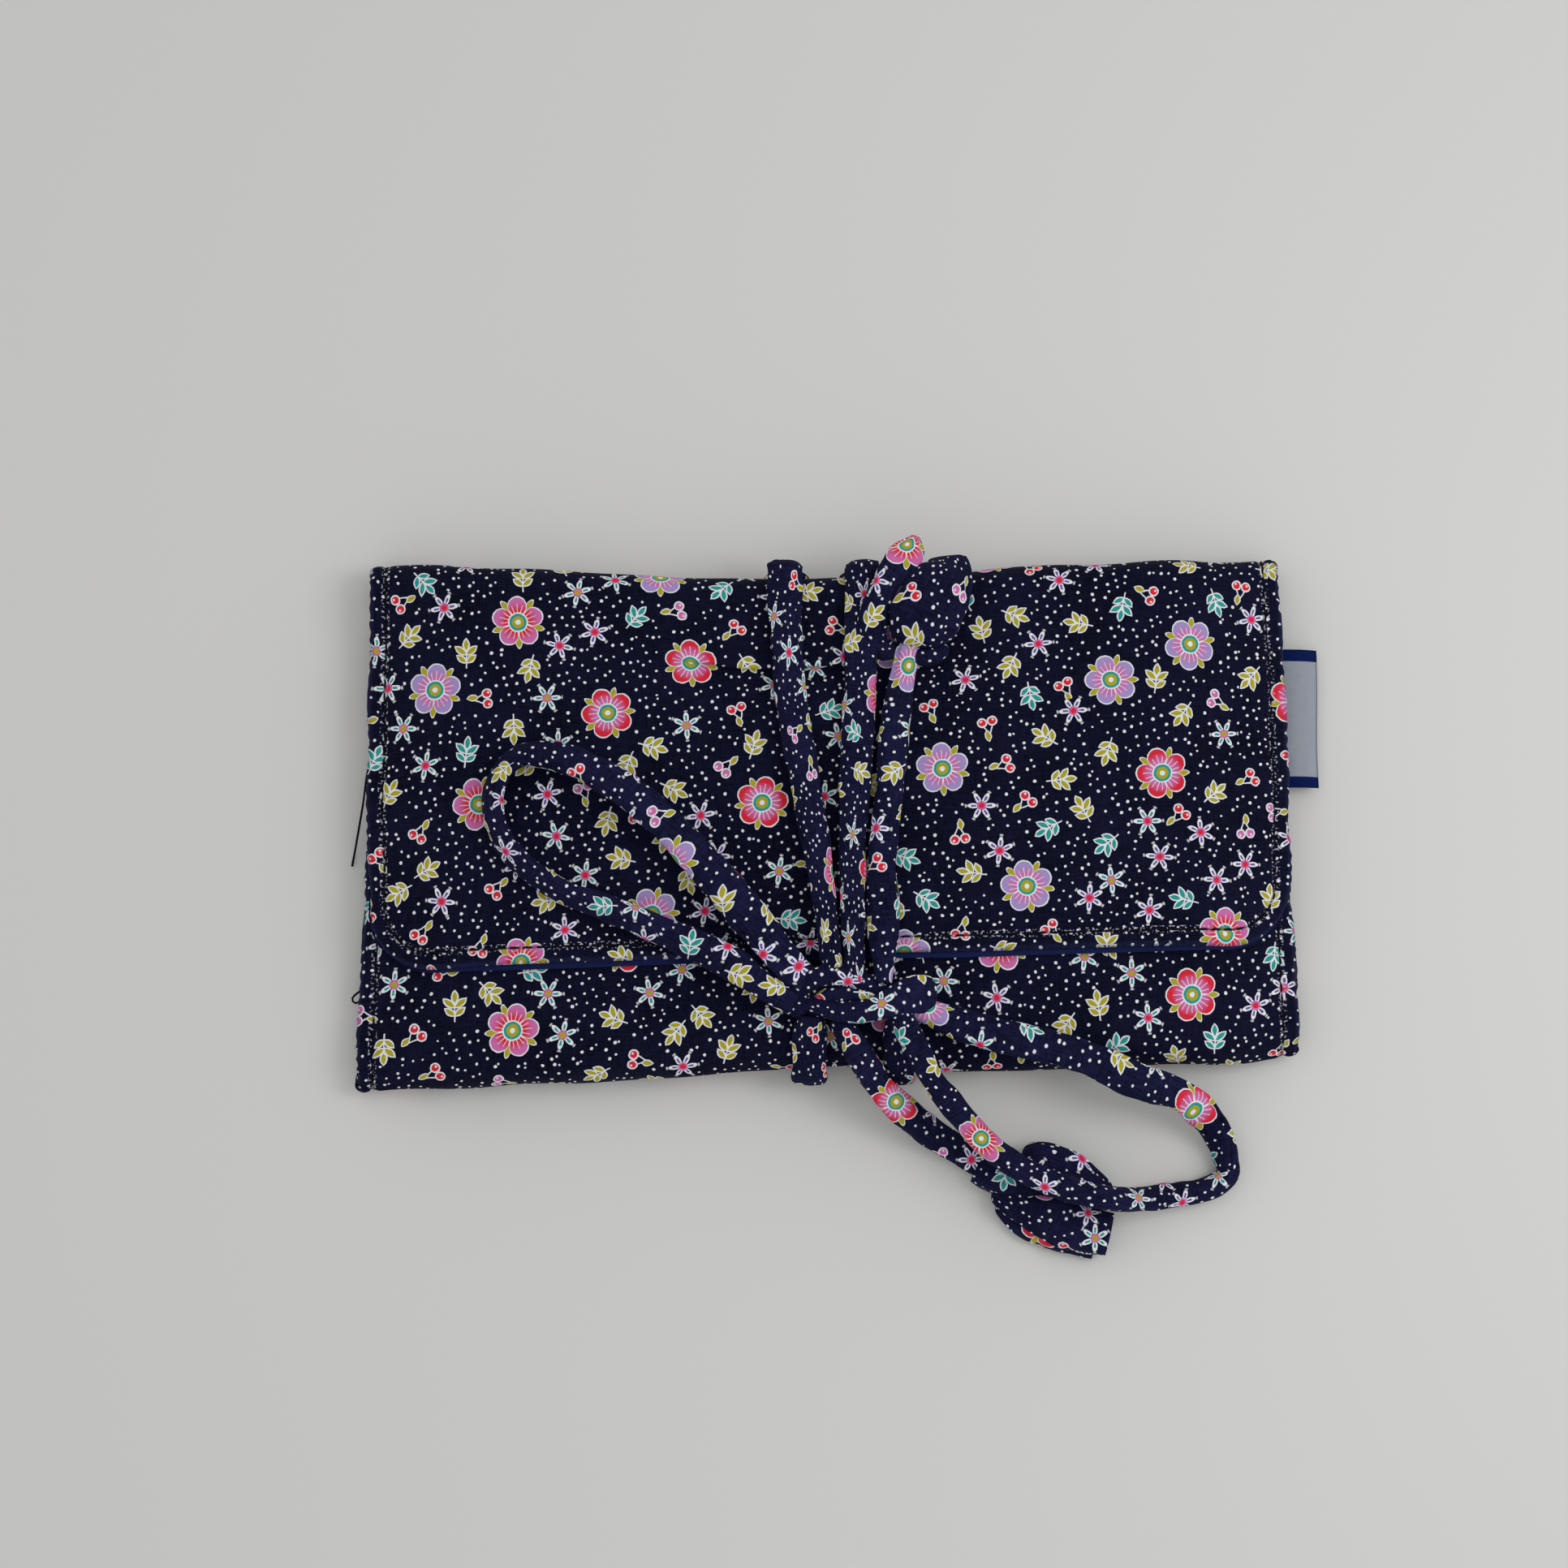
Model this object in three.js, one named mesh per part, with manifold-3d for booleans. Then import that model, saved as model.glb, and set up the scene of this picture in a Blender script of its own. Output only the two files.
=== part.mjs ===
// Jewelry pouch of printed cotton: a padded strip folded up at the bottom and sewn shut at the
// sides, a rounded flap over its front, and a turned fabric tie wrapped twice round and tied in
// a bow. Millimetres, +Z up. The pouch lies on its back, its top fold towards +Y.
import * as THREE from 'three';
import { mergeVertices } from 'three/addons/utils/BufferGeometryUtils.js';
import Module from 'manifold-3d';

const wasm = await Module();
wasm.setup();

// Pouch
const POUCH_WIDTH = 200;
const POUCH_HEIGHT = 110;
const FLAP_DROP = 86;
const FLAP_CORNER_RADIUS = 15;
const MOUTH_DROP = 8;
const ROOM_INSIDE = 5.8;

// Cloth and wadding
const OUTER_CLOTH = 0.7;
const LINING_CLOTH = 0.5;
const WADDING = 1.4;
const FLAP_WADDING = 0.8;
const LAYER_GAP = 0.3;

// How the soft pouch lies: pinched at the sewn sides and at the tie, folded a little askew
const SIDE_PINCH_RUN = 24;
const WAIST_X = 2;
const WAIST_HALF_WIDTH = 18;
const WAIST_RUN = 28;
const WAIST_DIP = 0.6;
const BOTTOM_SLANT = 4;
const TOP_DIP = 3.5;
const TOP_DIP_RUN = 40;
const TOP_CORNER_DRAW = 2;
const TOP_CORNER_RUN = 9;

// Inner pocket and side label
const POCKET_WIDTH = 150;
const POCKET_HEIGHT = 66;
const POCKET_FROM_BOTTOM = 14;
const LABEL_LENGTH = 29;
const LABEL_REACH = 6.2;
const LABEL_TUCK = 5;
const LABEL_THICKNESS = 0.6;
const LABEL_FROM_TOP = 18;
const LABEL_DROOP = 1.2;

// Tie
const TIE_WIDTH = 7.2;
const TIE_THICKNESS = 4;
const TIE_EDGE_THICKNESS = 3;
const TIE_BACK_WIDTH = 9.4;
const TIE_BACK_THICKNESS = 2.4;
const TIE_KNOT_WIDTH = 5.8;
const TIE_SIDES = 10;
const TIE_SQUARENESS = 0.8;
const TIE_CLEAR_OF_TABLE = 0.15;
const BOW_KNOT_DEPTH = 13;
const BOW_BAND = 4.8;
const BOW_BAND_THICKNESS = 3.2;
const BOW_CORE_LENGTH = 24;
const BOW_CORE_DEPTH = 9;
const BOW_CORE_HEIGHT = 6.4;
const BOW_KNOT_X = 5.2;
const BOW_KNOT_Y = -40.4;
const END_KNOT_UNIT = 3.9;
const END_KNOT_BAND = 5.6;
const END_KNOT_THICKNESS = 3.4;
const END_KNOT_STEP = 2.9;

// Places worked out from the driving dimensions
const HALF_WIDTH = POUCH_WIDTH / 2;
const TOP = POUCH_HEIGHT / 2;
const BOTTOM = -POUCH_HEIGHT / 2;
const FLAP_EDGE = TOP - FLAP_DROP;
const SIDE_PINCH = ROOM_INSIDE - LABEL_THICKNESS - 2 * LAYER_GAP;
const WAIST_LIFT = TIE_CLEAR_OF_TABLE + TIE_BACK_THICKNESS + LAYER_GAP;
const { smoothstep, clamp, lerp } = THREE.MathUtils;

// Heights of the layers, from the table up
function layersFrom(start, thicknesses) {
  let bottom = start;
  return thicknesses.map((thickness) => {
    const layer = { bottom, top: bottom + thickness };
    bottom = layer.top + LAYER_GAP;
    return layer;
  });
}
const backStack = layersFrom(0, [OUTER_CLOTH, WADDING, LINING_CLOTH]);
const [backOuter, backWadding, backLining] = backStack;
const roomBottom = backLining.top;
const roomTop = roomBottom + ROOM_INSIDE;
const frontStack = layersFrom(roomTop, [LINING_CLOTH, WADDING, OUTER_CLOTH]);
const frontOuter = frontStack[2];
const flapStack = layersFrom(frontOuter.top + LAYER_GAP, [LINING_CLOTH, FLAP_WADDING, OUTER_CLOTH]);
const [flapLining, flapWadding, flapOuter] = flapStack;
const THICKNESS = flapOuter.top;
const foldHeight = (roomBottom + roomTop) / 2;
const foldY = BOTTOM + foldHeight;

// The spine's layers stand upright, counted inwards from the top edge
const spineStack = layersFrom(0, [OUTER_CLOTH, FLAP_WADDING, LINING_CLOTH]);
const [spineOuter, spineWadding, spineLining] = spineStack;
const INNER_TOP = TOP - spineLining.top - LAYER_GAP;

// Where a point of the flat, square pouch comes to lie on the soft one
function drape(x, y, height) {
  const waist = 1 - smoothstep(Math.abs(x - WAIST_X), WAIST_HALF_WIDTH, WAIST_HALF_WIDTH + WAIST_RUN);
  const side = smoothstep(Math.abs(x), HALF_WIDTH - SIDE_PINCH_RUN, HALF_WIDTH);
  const upper = clamp((height - roomBottom) / ROOM_INSIDE, 0, 1);
  const lift = WAIST_LIFT * waist * (1 - upper);
  const sink = (WAIST_DIP * waist + SIDE_PINCH * side) * upper;
  const slant = (BOTTOM_SLANT * (x / HALF_WIDTH) * (TOP - y)) / POUCH_HEIGHT;
  const dip = TOP_DIP * (1 - (x / HALF_WIDTH) ** 2) * smoothstep(y, TOP - TOP_DIP_RUN, TOP);
  const draw = TOP_CORNER_DRAW * (x / HALF_WIDTH) * smoothstep(y, TOP - TOP_CORNER_RUN, TOP);
  return new THREE.Vector3(x - draw, y + slant - dip, height + lift - sink);
}

// Stations across the width, closer where the form turns
function stations(halfWidth) {
  const side = [halfWidth, halfWidth - SIDE_PINCH_RUN * 0.3, halfWidth - SIDE_PINCH_RUN];
  const turns = [0, 0.36, 0.68, 1].map((share) => WAIST_HALF_WIDTH + WAIST_RUN * share);
  const waist = turns.flatMap((reach) => [WAIST_X - reach, WAIST_X + reach]);
  const all = [...side, ...side.map((x) => -x), ...waist];
  return all.filter((x) => Math.abs(x) <= halfWidth).sort((a, b) => a - b);
}

// Rows down from the top edge, closer where the top edge dips
function rows(top, bottom) {
  const near = [top, TOP - TOP_CORNER_RUN, TOP - TOP_DIP_RUN * 0.5, TOP - TOP_DIP_RUN];
  return [...near.filter((y) => y <= top && y > bottom), bottom];
}

// A closed solid between two grids of points of the same size
function slab(outside, inside) {
  const columns = outside.length;
  const count = outside[0].length;
  const points = [...outside.flat(), ...inside.flat()];
  const index = [];
  const at = (layer, i, j) => (layer * columns + i) * count + j;
  const quad = (a, b, c, d) => index.push(a, b, c, a, c, d);
  for (let i = 0; i + 1 < columns; i += 1) {
    for (let j = 0; j + 1 < count; j += 1) {
      quad(at(0, i, j), at(0, i + 1, j), at(0, i + 1, j + 1), at(0, i, j + 1));
      quad(at(1, i, j), at(1, i, j + 1), at(1, i + 1, j + 1), at(1, i + 1, j));
    }
  }
  for (let i = 0; i + 1 < columns; i += 1) {
    const last = count - 1;
    quad(at(0, i, 0), at(1, i, 0), at(1, i + 1, 0), at(0, i + 1, 0));
    quad(at(0, i, last), at(0, i + 1, last), at(1, i + 1, last), at(1, i, last));
  }
  for (let j = 0; j + 1 < count; j += 1) {
    const last = columns - 1;
    quad(at(0, 0, j), at(0, 0, j + 1), at(1, 0, j + 1), at(1, 0, j));
    quad(at(0, last, j), at(1, last, j), at(1, last, j + 1), at(0, last, j + 1));
  }
  return solid(points, index);
}

// A geometry from points and triangles, turned so that its faces point out
function solid(points, index) {
  let volume = 0;
  for (let k = 0; k < index.length; k += 3) {
    const [a, b, c] = [points[index[k]], points[index[k + 1]], points[index[k + 2]]];
    volume += a.dot(b.clone().cross(c));
  }
  const geometry = new THREE.BufferGeometry();
  geometry.setFromPoints(points);
  geometry.setIndex(volume < 0 ? index.reverse() : index);
  geometry.computeVertexNormals();
  return geometry;
}

// Back, bottom fold and front in one strip: the layer between two distances from the fold's middle
function foldedStrip(layer, backTop) {
  const arc = [-90, -60, -30, 0, 30, 60, 90].map(THREE.MathUtils.degToRad);
  const mouth = TOP - MOUTH_DROP;
  const path = (height) => {
    const radius = foldHeight - height;
    const back = rows(backTop, foldY + foldHeight).map((y) => [y, foldHeight - radius]);
    const fold = arc.map((angle) => [
      foldY - radius * Math.cos(angle),
      foldHeight + radius * Math.sin(angle),
    ]);
    const front = rows(mouth, foldY + foldHeight).reverse().map((y) => [y, foldHeight + radius]);
    return [...back, ...fold, ...front];
  };
  const sheet = (height) => stations(HALF_WIDTH).map((x) => path(height).map(([y, z]) => drape(x, y, z)));
  return slab(sheet(layer.bottom), sheet(layer.top));
}

// A flap layer with two round corners
function flapLayer(layer, top) {
  const inner = HALF_WIDTH - FLAP_CORNER_RADIUS;
  const corner = [0.35, 0.65, 0.88].map((share) => inner + FLAP_CORNER_RADIUS * share);
  const across = [...stations(HALF_WIDTH), ...corner, ...corner.map((x) => -x)];
  across.sort((a, b) => a - b);
  const low = (x) => {
    const over = Math.max(0, Math.abs(x) - inner);
    return FLAP_EDGE + FLAP_CORNER_RADIUS - Math.sqrt(FLAP_CORNER_RADIUS ** 2 - over ** 2);
  };
  const sheet = (height) => across.map((x) => rows(top, low(x)).map((y) => drape(x, y, height)));
  return slab(sheet(layer.top), sheet(layer.bottom));
}

// A spine layer, standing between the back and the flap
function spineLayer(layer) {
  const low = backOuter.top + LAYER_GAP;
  const high = flapOuter.bottom - LAYER_GAP;
  const heights = [low, roomBottom, roomTop, high];
  const sheet = (depth) => stations(HALF_WIDTH).map((x) => heights.map((z) => drape(x, TOP - depth, z)));
  return slab(sheet(layer.bottom), sheet(layer.top));
}

// The slip pocket on the back wall of the compartment
function pocket() {
  const bottom = BOTTOM + POCKET_FROM_BOTTOM;
  const across = stations(POCKET_WIDTH / 2);
  const down = rows(bottom + POCKET_HEIGHT, bottom);
  const low = roomBottom + LAYER_GAP;
  const sheet = (height) => across.map((x) => down.map((y) => drape(x, y, height)));
  return slab(sheet(low + LINING_CLOTH), sheet(low));
}

// The label, caught in the side seam and drooping a little
function label() {
  const across = [-LABEL_TUCK, 0, LABEL_REACH / 2, LABEL_REACH];
  const top = TOP - LABEL_FROM_TOP;
  const sheet = (height) =>
    across.map((out) =>
      [top, top - LABEL_LENGTH].map((y) => {
        const point = drape(HALF_WIDTH, y, roomBottom);
        const droop = LABEL_DROOP * (Math.max(0, out) / LABEL_REACH) ** 2;
        return point.add(new THREE.Vector3(out, 0, height - droop));
      }),
    );
  return slab(sheet(LAYER_GAP + LABEL_THICKNESS), sheet(LAYER_GAP));
}

// A flattened tube along a route of places, each with its own upward side, width and thickness
function tieTube(route, steps) {
  const places = new THREE.CatmullRomCurve3(route.map((stop) => stop.at));
  const sides = new THREE.CatmullRomCurve3(route.map((stop) => stop.up));
  const sizes = new THREE.CatmullRomCurve3(
    route.map((stop) => new THREE.Vector3(stop.width, stop.thickness, 0)),
  );
  const points = [];
  const index = [];
  for (let i = 0; i <= steps; i += 1) {
    const t = i / steps;
    const centre = places.getPoint(t);
    const along = places.getTangent(t);
    const across = along.clone().cross(sides.getPoint(t)).normalize();
    const up = across.clone().cross(along).normalize();
    const size = sizes.getPoint(t);
    for (let k = 0; k < TIE_SIDES; k += 1) {
      const angle = (2 * Math.PI * (k + 0.5)) / TIE_SIDES;
      const wide = Math.sign(Math.cos(angle)) * Math.abs(Math.cos(angle)) ** TIE_SQUARENESS;
      const high = Math.sign(Math.sin(angle)) * Math.abs(Math.sin(angle)) ** TIE_SQUARENESS;
      const point = centre.clone().addScaledVector(across, (wide * size.x) / 2);
      points.push(point.addScaledVector(up, (high * size.y) / 2));
    }
  }
  for (let i = 0; i < steps; i += 1) {
    for (let k = 0; k < TIE_SIDES; k += 1) {
      const next = (k + 1) % TIE_SIDES;
      const a = i * TIE_SIDES;
      const b = a + TIE_SIDES;
      index.push(a + k, b + k, b + next, a + k, b + next, a + next);
    }
  }
  const end = steps * TIE_SIDES;
  for (let k = 1; k + 1 < TIE_SIDES; k += 1) {
    index.push(0, k, k + 1, end, end + k + 1, end + k);
  }
  return solid(points, index);
}

// Stops of the tie: on the flap or front, round the top edge, under the back, round the bottom
const stop = (at, up, width, thickness) => ({ at, up, width, thickness });
const UPWARD = new THREE.Vector3(0, 0, 1);
const TO_TOP = new THREE.Vector3(0, 1, 0);
const DOWNWARD = new THREE.Vector3(0, 0, -1);
const TO_BOTTOM = new THREE.Vector3(0, -1, 0);

function onFlap(x, y, width = TIE_WIDTH, lift = 0) {
  const at = drape(x, y, THICKNESS);
  at.z += LAYER_GAP + TIE_THICKNESS / 2 + lift;
  return stop(at, UPWARD, width, TIE_THICKNESS);
}

function onFront(x, y, width = TIE_WIDTH, lift = 0) {
  const at = drape(x, y, frontOuter.top);
  at.z += LAYER_GAP + TIE_THICKNESS / 2 + lift;
  return stop(at, UPWARD, width, TIE_THICKNESS);
}

function onTable(x, y, lift = 0, width = TIE_WIDTH, lean = 0) {
  const up = new THREE.Vector3(0, lean, 1).normalize();
  return stop(new THREE.Vector3(x, y, TIE_THICKNESS / 2 + lift), up, width, TIE_THICKNESS);
}

function roundTop(x) {
  const out = LAYER_GAP + TIE_EDGE_THICKNESS / 2;
  const corner = out * Math.SQRT1_2 + LAYER_GAP;
  const high = drape(x, TOP, THICKNESS).add(new THREE.Vector3(0, corner, corner));
  const middle = drape(x, TOP, foldHeight).add(new THREE.Vector3(0, out + LAYER_GAP, 0));
  const under = LAYER_GAP + TIE_BACK_THICKNESS / 2;
  const low = drape(x, TOP, 0).add(new THREE.Vector3(0, under * 0.9, -under * 0.6));
  const slope = (z) => new THREE.Vector3(0, 1, z).normalize();
  return [
    stop(high, slope(1), TIE_WIDTH, TIE_EDGE_THICKNESS),
    stop(middle, TO_TOP, TIE_WIDTH, TIE_EDGE_THICKNESS),
    stop(low, slope(-1), TIE_BACK_WIDTH, TIE_BACK_THICKNESS),
  ];
}

function underBack(x, y) {
  const at = drape(x, y, 0);
  at.z = TIE_BACK_THICKNESS / 2 + TIE_CLEAR_OF_TABLE;
  return stop(at, DOWNWARD, TIE_BACK_WIDTH, TIE_BACK_THICKNESS);
}

function roundBottom(x) {
  const out = foldHeight + LAYER_GAP * 2 + TIE_EDGE_THICKNESS / 2;
  return [-52, 0, 52].map(THREE.MathUtils.degToRad).map((angle) => {
    const high = foldHeight + foldHeight * Math.sin(angle);
    const at = drape(x, foldY, high);
    at.y -= out * Math.cos(angle);
    at.z += (out - foldHeight) * Math.sin(angle);
    const up = TO_BOTTOM.clone().multiplyScalar(Math.cos(angle)).addScaledVector(UPWARD, Math.sin(angle));
    return stop(at, up, TIE_WIDTH, TIE_EDGE_THICKNESS);
  });
}

// One turn of the tie round the pouch, from the top of the bow knot to its underside. The back
// stretch has its stops at shares of the half height.
const TIE_BACK_STOPS = [0.92, 0.72, 0.3, -0.15, -0.6, -0.8];
const TIE_BEFORE_TOP = 7;
const TIE_PAST_FOLD = 1.6;
const KNOT_TOP = BOW_KNOT_Y + BOW_KNOT_DEPTH / 2 + LAYER_GAP;
const KNOT_LOW = BOW_KNOT_Y - BOW_KNOT_DEPTH / 2 - LAYER_GAP;
function tieTurn(front, topX, bottomX) {
  const back = TIE_BACK_STOPS.map((share) => {
    const x = lerp(topX, bottomX, (1 - share) / 2);
    return underBack(x, TOP * share);
  });
  return [
    ...front.map(([x, y, width]) => onFlap(x, y, width)),
    onFlap(topX, TOP - TIE_BEFORE_TOP),
    ...roundTop(topX),
    ...back,
    ...roundBottom(bottomX),
    onFront(bottomX, foldY + TIE_PAST_FOLD),
  ];
}

const wrapLeft = tieTurn(
  [
    [-2.2, KNOT_TOP, TIE_KNOT_WIDTH],
    [-3, -22, TIE_WIDTH],
    [-4.4, -9, TIE_WIDTH],
    [-8.4, 22.5, TIE_WIDTH],
  ],
  -9.7,
  -4.6,
);
const wrapRight = tieTurn(
  [
    [4.2, KNOT_TOP, TIE_KNOT_WIDTH],
    [4.4, -22, TIE_WIDTH],
    [3.6, -6, TIE_WIDTH],
    [3.9, 22.5, TIE_WIDTH],
  ],
  4.7,
  14.6,
);

// The tail that runs up over the flap, and the knot in its end
const tailUp = [
  [10.8, KNOT_TOP, TIE_KNOT_WIDTH],
  [11.8, -20, TIE_WIDTH],
  [11.6, -2, TIE_WIDTH],
  [14, 16, TIE_WIDTH],
  [16, 31, TIE_KNOT_WIDTH],
].map(([x, y, width]) => onFlap(x, y, width));

// The left loop lies on the flap: out along its upper strand, back along its lower one
const loopLeft = [
  onFlap(-8.9, -33.2, TIE_KNOT_WIDTH, 1),
  onFlap(-21.3, -17.5, TIE_WIDTH, 1.5),
  onFlap(-33.4, -3.9, TIE_WIDTH, 1),
  onFlap(-45.5, 6.6),
  onFlap(-57.7, 12.2),
  onFlap(-66, 12.6),
  onFlap(-70.4, 8.6),
  onFlap(-71.7, 2),
  onFlap(-68.6, -6.5),
  onFlap(-59.1, -14.8),
  onFlap(-47, -20),
  onFlap(-33.3, -26, TIE_WIDTH, 1),
  onFlap(-22.5, -31.6, TIE_WIDTH, 1),
  onFlap(-11.6, -39.4, TIE_KNOT_WIDTH, 1),
];

// The right loop leaves the front over the bottom fold, lies on the table and comes back
const loopRight = [
  onFront(21.6, -43.6, TIE_KNOT_WIDTH, 1),
  onFront(29, -46, TIE_WIDTH, 1),
  onFront(38.7, -48.4, TIE_WIDTH, 0.6),
  onFront(55.9, -51.6, TIE_WIDTH, 0.6),
  onTable(70, -57.4, 6.5),
  onTable(80.4, -65.8, 2.4),
  onTable(86, -72.4, 0.4, 6.4),
  onTable(84.6, -78.4, 0.2, 5.4),
  onTable(78.6, -81.6, 0.2, 6.2),
  onTable(69, -83.4, 4.4),
  onTable(58, -82.6, 9.6),
  onTable(46, -79, 10.4),
  onTable(36.5, -72.4, 10),
  onTable(28.8, -63.8, 11),
  onTable(22.8, -55.4, 14.8, TIE_KNOT_WIDTH),
  onTable(17, -46.8, 16.4, TIE_KNOT_WIDTH),
];

// The tail that runs down to the table, under the right loop
const tailDown = [
  onFront(3.2, KNOT_LOW - 1.2, TIE_KNOT_WIDTH, 1.6),
  onFront(5.2, -52, TIE_KNOT_WIDTH, 2.2),
  onTable(8.6, -58.6, 9, TIE_KNOT_WIDTH),
  onTable(13.6, -64.8, 4, TIE_KNOT_WIDTH),
  onTable(20, -70, 1),
  onTable(26.6, -73.4, 0.4, TIE_KNOT_WIDTH),
  onTable(31, -75.2, 0.4, TIE_KNOT_WIDTH),
];

// An overhand knot in the flattened tube. Each row gives a place in knot units and how high
// the band lies there: under (-1), level (0) or over (1) the band that it crosses.
const OVERHAND = [
  [-3.3, -0.2, -0.9],
  [-1.5, -1, -1],
  [0, -3, 1],
  [1.4, -4, 0.2],
  [2.1, -2.8, -0.6],
  [1.5, -1, -1],
  [0, -0.1, 0],
  [-1.5, -1, 1],
  [-2.1, -2.8, 0.6],
  [-1.4, -4, -0.2],
  [0, -3, -1],
  [1.5, -1, 1],
  [2.9, -1.3, 0.9],
  [4, -2.6, 0.5],
];
const OVERHAND_START = OVERHAND[0];
const OVERHAND_NEXT = OVERHAND[1];
const OVERHAND_TURN = Math.atan2(
  OVERHAND_START[1] - OVERHAND_NEXT[1],
  OVERHAND_NEXT[0] - OVERHAND_START[0],
);

// The knot starts where the tail ends, turned so that its first stretch follows the tail
function endKnot(tail) {
  const last = tail[tail.length - 1];
  const before = tail[tail.length - 2];
  const forward = last.at.clone().sub(before.at).setZ(0).normalize();
  const start = last.at.clone().addScaledVector(forward, LAYER_GAP);
  const along = forward.clone().applyAxisAngle(UPWARD, OVERHAND_TURN);
  const aside = UPWARD.clone().cross(along);
  const base = start.z - TIE_THICKNESS / 2 + END_KNOT_THICKNESS / 2 + END_KNOT_STEP;
  return OVERHAND.map(([u, v, level]) => {
    const at = start.clone().setZ(base + level * END_KNOT_STEP);
    at.addScaledVector(along, (u - OVERHAND_START[0]) * END_KNOT_UNIT);
    at.addScaledVector(aside, (v - OVERHAND_START[1]) * END_KNOT_UNIT);
    return stop(at, UPWARD, END_KNOT_BAND, END_KNOT_THICKNESS);
  });
}

// One body from several that run into each other
function join(geometries) {
  const bodies = geometries.map((geometry) => {
    const vertProperties = new Float32Array(geometry.getAttribute('position').array);
    const triVerts = new Uint32Array(geometry.getIndex().array);
    return new wasm.Manifold(new wasm.Mesh({ numProp: 3, vertProperties, triVerts }));
  });
  const mesh = bodies.reduce((whole, body) => whole.add(body)).getMesh();
  const geometry = new THREE.BufferGeometry();
  geometry.setAttribute('position', new THREE.BufferAttribute(mesh.vertProperties, 3));
  geometry.setIndex(new THREE.BufferAttribute(mesh.triVerts, 1));
  geometry.computeVertexNormals();
  return geometry;
}

// The knot of the bow. Each row gives a place from the knot's middle, with the height above the
// cloth, and which way the band faces there.
const OUTWARD = new THREE.Vector3(1, 0, 0.4);
const BOW_ARCH = [
  [5.6, 0.6, 3, UPWARD],
  [0, 2.6, 5.4, UPWARD],
  [-6, 3.5, 6.4, UPWARD],
  [-10.5, 2.4, 6, UPWARD],
  [-13, 0, 4.6, UPWARD],
  [-12.6, -3, 3, UPWARD],
  [-10, -4.6, 2.4, UPWARD],
];
const BOW_SLING = [
  [-11, -1.6, 3.4, UPWARD],
  [-6.5, -3, 5.4, UPWARD],
  [-0.5, -4, 6, UPWARD],
  [5.5, -2.4, 6.6, UPWARD],
  [10, 0, 6, UPWARD],
  [13.4, 0.8, 4, OUTWARD],
  [12.6, 1.4, 2, DOWNWARD],
  [8, 1.2, 1.9, DOWNWARD],
];
const BOW_INNER = [
  [-9, -2.2, 4.6, UPWARD],
  [-4, -0.4, 5.4, UPWARD],
  [3, 0.8, 4.6, UPWARD],
];
function bowKnot() {
  const middle = drape(BOW_KNOT_X, BOW_KNOT_Y, frontOuter.top).add(new THREE.Vector3(0, 0, LAYER_GAP));
  const band = (rowsOfBand, steps) => {
    const route = rowsOfBand.map(([x, y, z, up]) => {
      const at = middle.clone().add(new THREE.Vector3(x, y, z));
      return stop(at, up, BOW_BAND, BOW_BAND_THICKNESS);
    });
    return tieTube(route, steps);
  };
  const core = new THREE.SphereGeometry(0.5, 18, 12);
  core.deleteAttribute('normal');
  core.deleteAttribute('uv');
  core.scale(BOW_CORE_LENGTH, BOW_CORE_DEPTH, BOW_CORE_HEIGHT);
  core.translate(middle.x, middle.y, middle.z + BOW_CORE_HEIGHT / 2);
  return join([mergeVertices(core), band(BOW_ARCH, 22), band(BOW_SLING, 26), band(BOW_INNER, 8)]);
}

// Finishes
const PRINTED_COTTON = { color: 0x191a38, roughness: 0.85, metalness: 0 };
const NAVY_LINING = { color: 0x1b2350, roughness: 0.7, metalness: 0 };
const WHITE_WADDING = { color: 0xe6e3da, roughness: 0.95, metalness: 0 };
const WOVEN_SATIN = { color: 0xb9bcc6, roughness: 0.5, metalness: 0 };

// The whole pouch, moved so that the box round it, label included, is centred on the origin
const group = new THREE.Group();
group.position.set(-LABEL_REACH / 2, BOTTOM_SLANT / 2, 0);

function add(name, geometry, finish) {
  const mesh = new THREE.Mesh(geometry, new THREE.MeshStandardMaterial(finish));
  mesh.name = name;
  group.add(mesh);
}

add('outer_shell', foldedStrip(backOuter, TOP), PRINTED_COTTON);
add('wadding_shell', foldedStrip(backWadding, INNER_TOP), WHITE_WADDING);
add('lining_shell', foldedStrip(backLining, INNER_TOP), NAVY_LINING);
add('inner_pocket', pocket(), NAVY_LINING);
add('side_label', label(), WOVEN_SATIN);

add('outer_spine', spineLayer(spineOuter), PRINTED_COTTON);
add('wadding_spine', spineLayer(spineWadding), WHITE_WADDING);
add('lining_spine', spineLayer(spineLining), NAVY_LINING);

add('outer_flap', flapLayer(flapOuter, TOP), PRINTED_COTTON);
add('wadding_flap', flapLayer(flapWadding, INNER_TOP), WHITE_WADDING);
add('lining_flap', flapLayer(flapLining, INNER_TOP), NAVY_LINING);

add('tie_wrap_left', tieTube(wrapLeft, 46), PRINTED_COTTON);
add('tie_wrap_right', tieTube(wrapRight, 46), PRINTED_COTTON);
add('bow_knot', bowKnot(), PRINTED_COTTON);
add('bow_loop_left', tieTube(loopLeft, 30), PRINTED_COTTON);
add('bow_loop_right', tieTube(loopRight, 36), PRINTED_COTTON);
add('tie_tail_up', tieTube(tailUp, 10), PRINTED_COTTON);
add('tie_tail_down', tieTube(tailDown, 14), PRINTED_COTTON);
add('end_knot_up', tieTube(endKnot(tailUp), 52), PRINTED_COTTON);
add('end_knot_down', tieTube(endKnot(tailDown), 52), PRINTED_COTTON);

export default group;
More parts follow.
